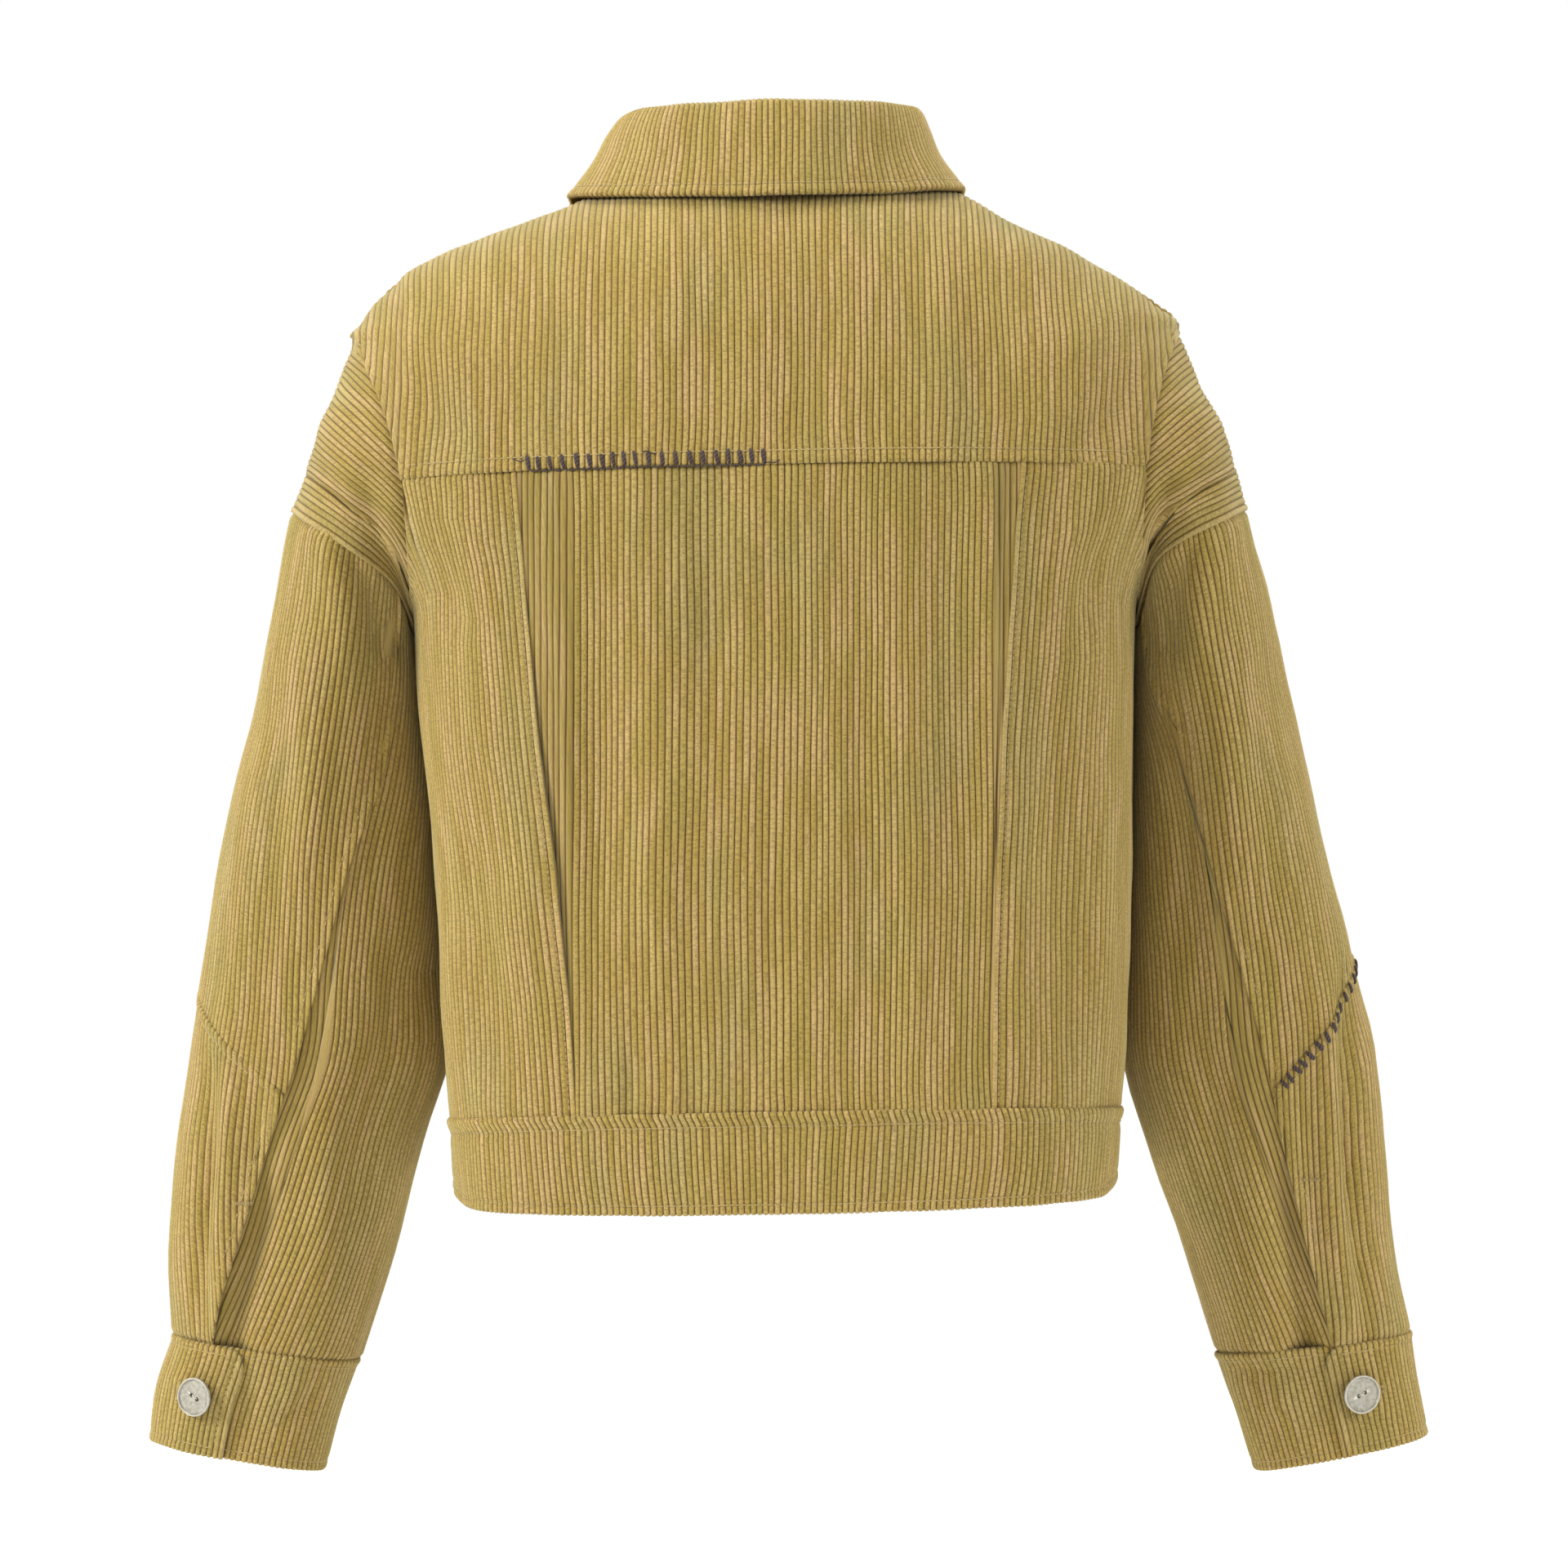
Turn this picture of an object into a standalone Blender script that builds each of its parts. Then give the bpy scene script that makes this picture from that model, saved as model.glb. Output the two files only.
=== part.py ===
"""Cropped corduroy jacket, buttoned and filled out with nobody in it.

Frame: metres, +Z up, +X to the wearer's right, +Y to the front. The origin is the
middle of the neck opening, level with the shoulder ends of the neck seam.
All tables are in millimetres. Every piece of cloth is a wall whose outer face lies
on a form: rings round the trunk, rings down each sleeve, rings round the collar.
"""
import functools
import math
from collections import namedtuple

import bmesh
import bpy
import numpy as np
from mathutils import Matrix, Vector

MM = 0.001

# Cloth
WALL = 1.8            # corduroy with its turnings
COLLAR_WALL = 2.2     # collar leaf, two layers
SEAM_EDGE = 0.15      # each piece stops this far short of its seam
TURNED_EDGE = 0.4     # the same where two pieces meet at an angle
PLAIN_EDGES = (SEAM_EDGE,) * 4                                     # lower, upper, first, last
TURNED_SIDES = (SEAM_EDGE, SEAM_EDGE, TURNED_EDGE, TURNED_EDGE)
LAP_RISE = 2.3        # how far an upper layer stands off the one under it
LEAN = 0.018          # the trunk hangs a little higher on the wearer's right

# Trunk rings, from the hem to the neck seam. side_z is the height at the side seam or
# shoulder ridge; left, right, back and front are reaches from the middle; the lifts
# raise the middle of the back and front; roundness is the superellipse exponent.
TRUNK_COLUMNS = ("side_z", "left", "right", "back", "front", "back_lift", "front_lift", "roundness")
TRUNK = (
    (-523.5, 164.0, 174.0, 96.0, 99.0, -3.5, -3.0, 2.8),
    (-483.0, 167.0, 176.5, 101.0, 104.0, 5.5, 2.0, 2.9),
    (-420.0, 170.0, 180.0, 106.0, 109.0, 0.0, 0.0, 2.9),
    (-353.0, 174.0, 182.0, 111.0, 114.0, 0.0, 0.0, 2.9),
    (-286.0, 181.0, 183.5, 115.0, 118.0, 0.0, 0.0, 2.9),
    (-222.0, 184.5, 184.0, 118.0, 121.0, 0.0, 0.0, 2.8),
    (-189.0, 186.0, 185.0, 119.0, 122.0, 1.0, 0.0, 2.6),
    (-157.0, 190.0, 187.0, 119.0, 122.0, 4.0, 0.0, 2.5),
    (-118.0, 200.0, 193.0, 115.0, 113.0, 1.0, -15.0, 2.3),
    (-84.0, 216.5, 205.5, 109.0, 104.0, -3.0, -37.0, 2.1),
    (-73.0, 212.5, 198.0, 106.0, 100.0, -3.0, -41.0, 2.05),
    (-60.0, 204.0, 182.0, 102.0, 95.0, -3.0, -46.0, 2.0),
    (-45.0, 184.0, 157.0, 96.0, 89.0, -3.0, -52.0, 2.0),
    (-29.5, 150.0, 125.5, 88.0, 81.0, -3.0, -58.0, 2.0),
    (-15.5, 110.0, 101.5, 78.0, 73.0, -5.0, -65.0, 2.0),
    (0.0, 76.0, 74.0, 64.0, 64.0, -8.0, -72.0, 2.0),
)
HEM, WAIST_SEAM, ARMHOLE_FOOT, YOKE_SEAM, SHOULDER_END, NECK_SEAM = 0, 1, 5, 7, 9, 15
LIFT_POWER = 1.5

# Armhole of each side: its top and foot, and its half depth from back to front.
Armhole = namedtuple("Armhole", "top_x foot_x top_z foot_z half_depth")
ARMHOLE = {
    -1: Armhole(216.5, 184.5, -84.0, -222.0, 74.0),
    1: Armhole(205.5, 184.0, -84.0, -222.0, 74.0),
}
ARMHOLE_HOLLOW = 3.0  # how quickly the seam runs inwards below the shoulder end

# The two long shaping seams of the back, as distances from the middle line.
SHAPING_COLUMNS = ("ring", "left", "right")
SHAPING = (
    (0.0, 99.0, 108.0),
    (1.0, 100.0, 108.5),
    (2.0, 103.5, 109.0),
    (3.0, 109.5, 110.5),
    (4.0, 118.5, 113.5),
    (5.0, 124.5, 118.0),
    (6.0, 127.0, 120.0),
    (7.0, 130.0, 123.0),
)
SHOULDER_SEAM_FORWARD = 15.0   # at the neck; it meets the top of the armhole
YOKE_RINGS = (YOKE_SEAM, 7.4, 7.9, 8.4, 8.75, 8.94, 9, 10, 11, 12, 13, 14, NECK_SEAM)
BACK_RINGS = (WAIST_SEAM, 2, 3, 4, 4.6, 5, 5.1, 5.3, 5.7, 6.3, YOKE_SEAM)
FRONT_RINGS = (
    WAIST_SEAM, 2, 3, 4, 4.6, 5, 5.1, 5.3, 5.8, 6.4, 7.2, 8, 8.6, 9, 10, 11, 12, 13, 14, NECK_SEAM,
)
WAISTBAND_RINGS = (HEM, 0.5, WAIST_SEAM)
FRONT_LAP = 12.0               # each front reaches this far past the middle line
LAP_RAMP = 45.0                # the upper front rises over this width
YOKE_POINTS, CENTRE_POINTS, SIDE_POINTS, FRONT_POINTS, WAISTBAND_POINTS = 17, 8, 6, 8, 45

# Sleeve rings below the armhole: the outer and inner ends of each ring in the
# frontal plane, how far forward its middle is, its half depth, how far its inner end
# dips below the straight ring, and the angle of the back sleeve seam (0 at the outer
# end, 90 at the back, 180 at the inner end).
SLEEVE_COLUMNS = ("outer_x", "outer_z", "inner_x", "inner_z", "forward", "half_depth", "dip", "seam")
SLEEVE = {
    -1: (
        (234.0, -134.0, 185.2, -207.0, 4.0, 73.0, 24.0, 145.0),
        (248.5, -172.0, 185.7, -213.0, 12.0, 72.5, 24.0, 142.0),
        (263.0, -235.0, 184.4, -256.0, 26.0, 71.0, 8.0, 137.5),
        (277.0, -299.0, 181.6, -302.0, 37.0, 69.0, 0.0, 127.0),
        (288.5, -350.0, 177.0, -350.0, 44.0, 66.0, 0.0, 105.0),
        (298.0, -404.0, 173.6, -404.0, 48.0, 60.0, 0.0, 93.0),
        (306.0, -452.0, 171.3, -452.0, 52.0, 54.0, 0.0, 85.5),
        (313.5, -500.0, 184.8, -498.0, 56.0, 50.0, 0.0, 80.5),
        (317.5, -550.0, 197.8, -548.0, 60.0, 46.0, 0.0, 72.5),
        (315.8, -602.0, 218.6, -616.0, 63.0, 38.5, 0.0, 60.0),
    ),
    1: (
        (230.5, -137.0, 185.4, -194.0, 4.0, 73.0, 30.0, 157.0),
        (241.5, -171.0, 185.6, -199.0, 12.0, 72.5, 32.0, 155.0),
        (257.0, -228.0, 185.6, -247.0, 26.0, 71.0, 10.0, 150.0),
        (274.0, -297.0, 184.6, -300.0, 37.0, 69.0, 0.0, 120.0),
        (286.0, -350.0, 183.2, -350.0, 44.0, 66.0, 0.0, 103.5),
        (301.0, -404.0, 181.4, -404.0, 48.0, 60.0, 0.0, 93.0),
        (312.5, -452.0, 181.0, -455.0, 52.0, 54.0, 0.0, 87.0),
        (318.2, -505.0, 195.2, -500.0, 57.0, 50.0, 0.0, 86.0),
        (323.8, -560.0, 213.8, -557.0, 60.0, 46.0, 0.0, 83.5),
        (333.0, -601.0, 232.2, -612.0, 63.0, 38.5, 0.0, 84.0),
    ),
}
CAP_SEAM, CUFF_SEAM = 2, 10
SLEEVE_ROUNDNESS = 2.2
DIP_SHARPNESS = 14
FRONT_SLEEVE_SEAM = -135.0
UNDER_PANELS = 3      # faces of the under sleeve each side of the underarm
CAP_ROWS, UPPER_ROWS, LOWER_ROWS = 4, 7, 5

# Slanting elbow seam: its ring at the outer fold and where it meets the back seam.
Elbow = namedtuple("Elbow", "outer_ring seam_ring")
ELBOW = {-1: Elbow(6.37, 7.45), 1: Elbow(5.98, 7.37)}
ELBOW_BEND = 1.4

# Cuffs: the middle ring and the lower edge, with the sleeve's columns as far as the
# dip; their first ring is the sleeve's last.
CUFF = {
    -1: (
        (324.3, -629.0, 228.8, -645.0, 65.0, 36.5, 0.0),
        (328.8, -656.5, 236.3, -672.5, 66.0, 36.0, 0.0),
    ),
    1: (
        (337.3, -627.5, 241.6, -642.0, 65.0, 36.5, 0.0),
        (341.5, -653.5, 251.0, -672.5, 66.0, 36.0, 0.0),
    ),
}
CUFF_TAB = {-1: 84.5, 1: 90.0}          # angle of the tab's end
CUFF_UNDERLAP = 48.0                    # degrees that the lower end runs under it
CUFF_RISE_FROM, CUFF_RISE_OVER = 6.0, 70.0   # degrees past the tab in which it comes level
CuffButton = namedtuple("CuffButton", "turn height")
CUFF_BUTTON = {-1: CuffButton(62.0, 0.47), 1: CuffButton(75.0, 0.44)}
CUFF_ROWS, CUFF_POINTS = 3, 31

# Collar rings: the stand from the neck seam up, then the leaf over its fold and down.
COLLAR_COLUMNS = ("side_z", "left", "right", "back", "front", "back_lift", "front_lift")
STAND = (
    (0.6, 76.0, 74.0, 64.0, 64.0, -8.0, -72.0),
    (14.0, 75.0, 72.5, 62.5, 62.5, -3.5, -73.0),
    (26.6, 73.5, 69.5, 60.5, 60.5, 0.0, -74.0),
)
LEAF = (
    (27.2, 73.5, 69.5, 60.5, 60.5, 0.0, -74.0),
    (30.2, 74.8, 70.4, 61.8, 61.8, 0.2, -74.0),
    (31.6, 77.6, 72.4, 64.4, 64.4, 0.4, -74.0),
    (29.4, 81.2, 75.0, 67.2, 67.4, 0.2, -75.0),
    (20.5, 87.4, 78.8, 71.5, 75.0, -1.0, -80.0),
    (7.0, 94.5, 84.8, 77.0, 86.0, -4.0, -88.0),
    (-9.5, 106.8, 97.0, 84.0, 101.0, -8.0, -96.0),
)
COLLAR_ROUNDNESS = 2.0
COLLAR_END = 175.0     # each end stops this many degrees from the middle of the back
LEAF_SPREAD = 9.0      # the leaf's ends open by this many degrees towards their points
LEAF_POINT = 0.7       # the leaf reaches this many rings further at its points
LEAF_POINT_FROM, LEAF_POINT_TO = 110.0, 170.0
STAND_POINTS, LEAF_POINTS = 29, 31

# Buttons
BUTTON_CLEARANCE = 0.3
BUTTON_PROFILE = (    # radius and height, from the foot round the rim to the face
    (0.0, 0.0),
    (3.4, 0.0),
    (3.4, 1.3),
    (9.3, 1.6),
    (10.2, 2.8),
    (9.5, 4.1),
    (7.8, 3.5),
    (0.0, 2.8),
)
BUTTON_SIDES = 16
FRONT_BUTTON_RINGS = (8.2, 6.2, 4.4, 3.1, 1.8)
WAISTBAND_BUTTON_RING = 0.5

# Colours, as linear light
CORDUROY = (0.40, 0.29, 0.085, 1.0)
PEWTER = (0.52, 0.48, 0.38, 1.0)
CLOTH_ROUGHNESS, METAL_ROUGHNESS = 0.9, 0.35
SHARP_EDGE = 0.7      # faces that meet at more than this, in radians, keep a sharp edge

# Fineness of the working
FORM_STEP = 0.01      # in rings and radians, for the slope of a form
RUN_SAMPLES = 400     # along a ring, to space points evenly
HALVINGS = 40         # to find where a ring meets the armhole
SEAM_ROUNDS = 8       # for a seam whose angle and ring depend on each other


def between(values, at):
    """Value of a table's column at a fractional row, along a smooth curve."""
    values = np.asarray(values, float)
    at = np.asarray(at, float)
    last = len(values) - 1
    low = np.clip(np.floor(at).astype(int), 0, last - 1)
    part = at - low
    if values.ndim > 1:
        part = part.reshape(part.shape + (1,) * (values.ndim - 1))
    padded = np.concatenate([[2 * values[0] - values[1]], values, [2 * values[-1] - values[-2]]])
    before, here, after, beyond = (padded[low + k] for k in range(4))
    start, end = (after - before) / 2, (beyond - here) / 2
    rise = after - here
    return here + part * (start + part * ((3 * rise - 2 * start - end) + part * (start + end - 2 * rise)))


def column(table, columns, name):
    return [row[columns.index(name)] for row in table]


def power(value, exponent):
    return np.sign(value) * np.abs(value) ** exponent


def trunk(name, ring):
    return float(between(column(TRUNK, TRUNK_COLUMNS, name), ring))


def armhole(side, turn):
    """Point of an armhole seam before the lean; turn is 0 at its top, pi/2 at the back."""
    hole = ARMHOLE[side]
    height = (1 + np.cos(turn)) / 2
    x = side * (hole.foot_x + (hole.top_x - hole.foot_x) * height**ARMHOLE_HOLLOW)
    return x, -hole.half_depth * np.sin(turn), hole.foot_z + (hole.top_z - hole.foot_z) * height


def armhole_at(ring, side, face):
    """Where a trunk ring meets the armhole, on the back (-1) or front (1): x, the depth
    as a negative number, and the armhole's turn."""
    name = "back" if face < 0 else "front"
    depth, lift = trunk(name, ring), trunk(name + "_lift", ring)
    side_z = trunk("side_z", ring)
    low, high = 0.0, math.pi
    for _ in range(HALVINGS):
        turn = (low + high) / 2
        x, y, z = armhole(side, turn)
        if z > side_z + lift * (abs(y) / depth) ** LIFT_POWER:
            low = turn
        else:
            high = turn
    return x, y, turn


@functools.lru_cache(maxsize=None)
def half_width(ring, side, face):
    """Reach of a trunk ring to one side; beside the armhole it is the ring that would
    pass through the armhole seam."""
    if ring <= ARMHOLE_FOOT or ring >= SHOULDER_END:
        return trunk("left" if side < 0 else "right", ring)
    x, y, _ = armhole_at(ring, side, face)
    depth = trunk("back" if face < 0 else "front", ring)
    roundness = trunk("roundness", ring)
    return abs(x) / (1 - (abs(y) / depth) ** roundness) ** (1 / roundness)


def trunk_point(ring, angle):
    """Points of a trunk ring; the angle is 0 at the middle of the back and grows to
    the wearer's right."""
    roundness = trunk("roundness", ring)
    back, front = trunk("back", ring), trunk("front", ring)
    to_right, to_front = np.sin(angle) >= 0, np.cos(angle) < 0
    width = np.where(
        to_right,
        np.where(to_front, half_width(ring, 1, 1), half_width(ring, 1, -1)),
        np.where(to_front, half_width(ring, -1, 1), half_width(ring, -1, -1)),
    )
    depth = np.where(to_front, front, back)
    lift = np.where(to_front, trunk("front_lift", ring), trunk("back_lift", ring))
    x = width * power(np.sin(angle), 2 / roundness)
    y = -depth * power(np.cos(angle), 2 / roundness)
    z = trunk("side_z", ring) + lift * (np.abs(y) / depth) ** LIFT_POWER + LEAN * x
    return np.stack([x, y, z], axis=-1)


def angle_at_depth(ring, y):
    """Angle from the middle of the back at which a ring is y forward of the sides."""
    depth = trunk("front" if y > 0 else "back", ring)
    roundness = trunk("roundness", ring)
    return math.pi / 2 + math.copysign(math.asin((abs(y) / depth) ** (roundness / 2)), y)


def outer_edge(ring, side, face):
    """Angle at which the back or a front ends: side seam, armhole or shoulder seam."""
    if ring <= ARMHOLE_FOOT:
        return side * math.pi / 2
    if ring >= SHOULDER_END:
        share = (ring - SHOULDER_END) / (NECK_SEAM - SHOULDER_END)
        return side * angle_at_depth(ring, SHOULDER_SEAM_FORWARD * share)
    return side * angle_at_depth(ring, armhole_at(ring, side, face)[1] * (1 if face < 0 else -1))


def shaping_seam(ring, side):
    """Angle of a long shaping seam of the back."""
    rings = column(SHAPING, SHAPING_COLUMNS, "ring")
    reach = np.interp(ring, rings, column(SHAPING, SHAPING_COLUMNS, "left" if side < 0 else "right"))
    share = (reach / half_width(ring, side, -1)) ** (trunk("roundness", ring) / 2)
    return side * math.asin(share)


def even_angles(ring, start, end, count, past=(0.0, 0.0)):
    """Angles evenly spaced along a ring's length, past its ends by so many millimetres."""
    fine = np.linspace(start, end, RUN_SAMPLES)
    points = trunk_point(ring, fine)
    run = np.concatenate([[0], np.cumsum(np.linalg.norm(np.diff(points, axis=0), axis=1))])
    pace = np.gradient(fine, run)
    first, last = start - past[0] * pace[1], end + past[1] * pace[-2]
    fine = np.linspace(first, last, RUN_SAMPLES)
    points = trunk_point(ring, fine)
    run = np.concatenate([[0], np.cumsum(np.linalg.norm(np.diff(points, axis=0), axis=1))])
    return np.interp(np.linspace(0, run[-1], count), run, fine)


def trunk_panel(rings, edges, columns, past=(0.0, 0.0)):
    """Points and outward normals of a panel of the trunk; edges gives its two angles."""
    points, normals = [], []
    for ring in rings:
        start, end = edges(ring)
        angles = even_angles(ring, start, end, columns, past)
        along = trunk_point(ring, angles + FORM_STEP) - trunk_point(ring, angles - FORM_STEP)
        above, below = min(ring + FORM_STEP, NECK_SEAM), max(ring - FORM_STEP, HEM)
        points.append(trunk_point(ring, angles))
        normals.append(np.cross(along, trunk_point(above, angles) - trunk_point(below, angles)))
    normals = np.array(normals)
    return np.array(points), normals / np.linalg.norm(normals, axis=-1, keepdims=True)


def sleeve_ring(side, row, turn):
    """Points of one ring of a sleeve or cuff table."""
    outer_x, outer_z, inner_x, inner_z, forward, half_depth, dip = row[:7]
    across = (1 + power(np.cos(turn), 2 / SLEEVE_ROUNDNESS)) / 2
    x = side * (inner_x + (outer_x - inner_x) * across)
    z = inner_z + (outer_z - inner_z) * across - dip * (1 - across) ** DIP_SHARPNESS
    y = forward - half_depth * power(np.sin(turn), 2 / SLEEVE_ROUNDNESS)
    return np.stack([x, y, z], axis=-1)


def sleeve_point(side, ring, turn):
    """Points of a sleeve; ring 0 is the armhole seam, 10 the cuff seam."""
    ring, turn = np.broadcast_arrays(np.asarray(ring, float), np.asarray(turn, float))
    x, y, z = armhole(side, turn)
    rings = [np.stack([x, y, z + LEAN * x], axis=-1)]
    rings += [sleeve_ring(side, row, turn) for row in SLEEVE[side]]
    rings = np.array(rings)
    low = np.clip(np.floor(ring).astype(int), 0, len(rings) - 2)
    result = np.empty(ring.shape + (3,))
    for place in np.ndindex(ring.shape):
        first = max(low[place] - 1, 0)
        last = min(low[place] + 3, len(rings))
        result[place] = between(rings[(slice(first, last),) + place], ring[place] - first)
    return result


def cuff_point(side, height, turn):
    """Points of a cuff; height is 0 at its seam and 1 at its lower edge."""
    height, turn = np.broadcast_arrays(np.asarray(height, float), np.asarray(turn, float))
    rings = np.array([sleeve_ring(side, row, turn) for row in (SLEEVE[side][-1],) + CUFF[side]])
    result = np.empty(height.shape + (3,))
    for place in np.ndindex(height.shape):
        result[place] = between(rings[(slice(None),) + place], 2 * height[place])
    return result


def collar_point(table, ring, angle):
    """Points of a collar ring, with the trunk's angles."""
    ring, angle = np.broadcast_arrays(np.asarray(ring, float), np.asarray(angle, float))
    values = {name: between(column(table, COLLAR_COLUMNS, name), ring) for name in COLLAR_COLUMNS}
    to_right, to_front = np.sin(angle) >= 0, np.cos(angle) < 0
    width = np.where(to_right, values["right"], values["left"])
    depth = np.where(to_front, values["front"], values["back"])
    lift = np.where(to_front, values["front_lift"], values["back_lift"])
    x = width * power(np.sin(angle), 2 / COLLAR_ROUNDNESS)
    y = -depth * power(np.cos(angle), 2 / COLLAR_ROUNDNESS)
    z = values["side_z"] + lift * (np.abs(y) / depth) ** LIFT_POWER + LEAN * x
    return np.stack([x, y, z], axis=-1)


def normals_of(point, u, v):
    """Unit normals of a form, along du x dv."""
    along_u = point(u + FORM_STEP, v) - point(u - FORM_STEP, v)
    along_v = point(u, v + FORM_STEP) - point(u, v - FORM_STEP)
    normals = np.cross(along_u, along_v)
    return normals / np.linalg.norm(normals, axis=-1, keepdims=True)


def drawn_in(points, edges):
    """Points with their border drawn in from the seams: (first row, last row, first
    column, last column)."""
    points = points.copy()
    for axis, (first, last) in enumerate((edges[:2], edges[2:])):
        rows = np.moveaxis(points, axis, 0)
        for end, inner, gap in ((0, 1, first), (-1, -2, last)):
            way = rows[inner] - rows[end]
            rows[end] += gap * way / np.linalg.norm(way, axis=-1, keepdims=True)
    return points


def finish(name, mesh, colour, roughness, metallic):
    """Object with its own material, from a finished bmesh in millimetres."""
    bmesh.ops.scale(mesh, vec=(MM, MM, MM), verts=mesh.verts)
    bmesh.ops.recalc_face_normals(mesh, faces=mesh.faces)
    data = bpy.data.meshes.new(name)
    mesh.to_mesh(data)
    mesh.free()
    data.shade_smooth()
    data.set_sharp_from_angle(angle=SHARP_EDGE)
    material = bpy.data.materials.new(name)
    material.use_nodes = True
    shader = material.node_tree.nodes["Principled BSDF"]
    shader.inputs["Base Color"].default_value = colour
    shader.inputs["Roughness"].default_value = roughness
    shader.inputs["Metallic"].default_value = metallic
    data.materials.append(material)
    part = bpy.data.objects.new(name, data)
    bpy.context.scene.collection.objects.link(part)
    return part


def cloth(name, points, normals, thickness=WALL, edges=PLAIN_EDGES):
    """One piece of cloth: a wall inwards from a grid of points on its form."""
    outer = drawn_in(points, edges)
    inner = outer - thickness * normals
    rows, columns = points.shape[:2]
    mesh = bmesh.new()
    place = mesh.verts.layers.int.new("place")
    bmesh.ops.create_grid(mesh, x_segments=columns - 1, y_segments=rows - 1, size=0.5)
    for vertex in mesh.verts:
        column_index = round((vertex.co.x + 0.5) * (columns - 1))
        row_index = round((vertex.co.y + 0.5) * (rows - 1))
        vertex[place] = row_index * columns + column_index
        vertex.co = outer[row_index, column_index]
    turned = bmesh.ops.extrude_face_region(mesh, geom=mesh.faces[:])
    for item in turned["geom"]:
        if isinstance(item, bmesh.types.BMVert):
            item.co = inner[divmod(item[place], columns)]
    return finish(name, mesh, CORDUROY, CLOTH_ROUGHNESS, 0.0)


def button(name, point, normal):
    """Turned button whose short foot stands just off the cloth."""
    mesh = bmesh.new()
    profile = [mesh.verts.new((radius, 0.0, height)) for radius, height in BUTTON_PROFILE]
    line = [mesh.edges.new(pair) for pair in zip(profile, profile[1:])]
    bmesh.ops.spin(
        mesh, geom=profile + line, cent=(0, 0, 0), axis=(0, 0, 1), angle=math.tau,
        steps=BUTTON_SIDES, use_merge=True, use_duplicate=False,
    )
    bmesh.ops.remove_doubles(mesh, verts=mesh.verts, dist=0.01)
    foot = Vector(point) + BUTTON_CLEARANCE * Vector(normal)
    facing = Vector(normal).to_track_quat("Z", "Y").to_matrix().to_4x4()
    bmesh.ops.transform(mesh, matrix=Matrix.Translation(foot) @ facing, verts=mesh.verts)
    return finish(name, mesh, PEWTER, METAL_ROUGHNESS, 1.0)


def lap_rise(past_middle):
    """How far the upper front stands out, from its distance past the middle line."""
    share = np.clip((past_middle + LAP_RAMP + 2 * FRONT_LAP) / LAP_RAMP, 0, 1)
    return LAP_RISE * share**2 * (3 - 2 * share)


def build_back():
    points, normals = trunk_panel(
        YOKE_RINGS, lambda ring: (outer_edge(ring, -1, -1), outer_edge(ring, 1, -1)), YOKE_POINTS)
    cloth("back_yoke", points, normals, edges=TURNED_SIDES)

    points, normals = trunk_panel(
        BACK_RINGS, lambda ring: (shaping_seam(ring, -1), shaping_seam(ring, 1)), CENTRE_POINTS)
    cloth("back_centre", points, normals)

    for side, name in ((-1, "left"), (1, "right")):
        def edges(ring, side=side):
            return tuple(sorted((outer_edge(ring, side, -1), shaping_seam(ring, side))))
        points, normals = trunk_panel(BACK_RINGS, edges, SIDE_POINTS)
        cloth("back_side_" + name, points, normals, edges=TURNED_SIDES)


def build_fronts():
    points, normals = trunk_panel(
        FRONT_RINGS, lambda ring: (outer_edge(ring, 1, 1), math.pi), FRONT_POINTS, past=(0.0, FRONT_LAP))
    rise = lap_rise(-points[..., 0])
    cloth("front_right", points + rise[..., None] * normals, normals, edges=TURNED_SIDES)

    points, normals = trunk_panel(
        FRONT_RINGS, lambda ring: (-math.pi, outer_edge(ring, -1, 1)), FRONT_POINTS, past=(FRONT_LAP, 0.0))
    cloth("front_left", points, normals, edges=TURNED_SIDES)

    for number, ring in enumerate(FRONT_BUTTON_RINGS + (WAISTBAND_BUTTON_RING,), start=1):
        point, normal = trunk_panel([ring], lambda ring: (math.pi / 2, math.pi), FRONT_POINTS)
        name = "waistband_button" if ring < WAIST_SEAM else f"front_button_{number}"
        button(name, point[0, -1] + LAP_RISE * normal[0, -1], normal[0, -1])


def build_waistband():
    points, normals = trunk_panel(
        WAISTBAND_RINGS, lambda ring: (-math.pi, math.pi), WAISTBAND_POINTS, past=(FRONT_LAP, FRONT_LAP))
    in_front = points[..., 1] > 0
    in_front[:, : WAISTBAND_POINTS // 2] = False
    rise = lap_rise(np.where(in_front, -points[..., 0], -np.inf))
    cloth("waistband", points + rise[..., None] * normals, normals)


def build_collar():
    end = math.radians(COLLAR_END)
    rings = np.arange(len(STAND), dtype=float)
    ring, angle = np.meshgrid(rings, np.linspace(-end, end, STAND_POINTS), indexing="ij")
    form = functools.partial(collar_point, STAND)
    cloth("collar_stand", form(ring, angle), -normals_of(form, ring, angle))

    last = len(LEAF) - 1
    shares = np.linspace(0, 1, len(LEAF))
    share, angle = np.meshgrid(shares, np.linspace(-end, end, LEAF_POINTS), indexing="ij")
    angle = angle * (1 - LEAF_SPREAD / COLLAR_END * share)
    towards = (np.degrees(np.abs(angle)) - LEAF_POINT_FROM) / (LEAF_POINT_TO - LEAF_POINT_FROM)
    ring = share * (last + LEAF_POINT * share * np.clip(towards, 0, 1) ** 2)
    form = functools.partial(collar_point, LEAF)
    cloth("collar_fall", form(ring, angle), normals_of(form, ring, angle), thickness=COLLAR_WALL)


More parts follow.
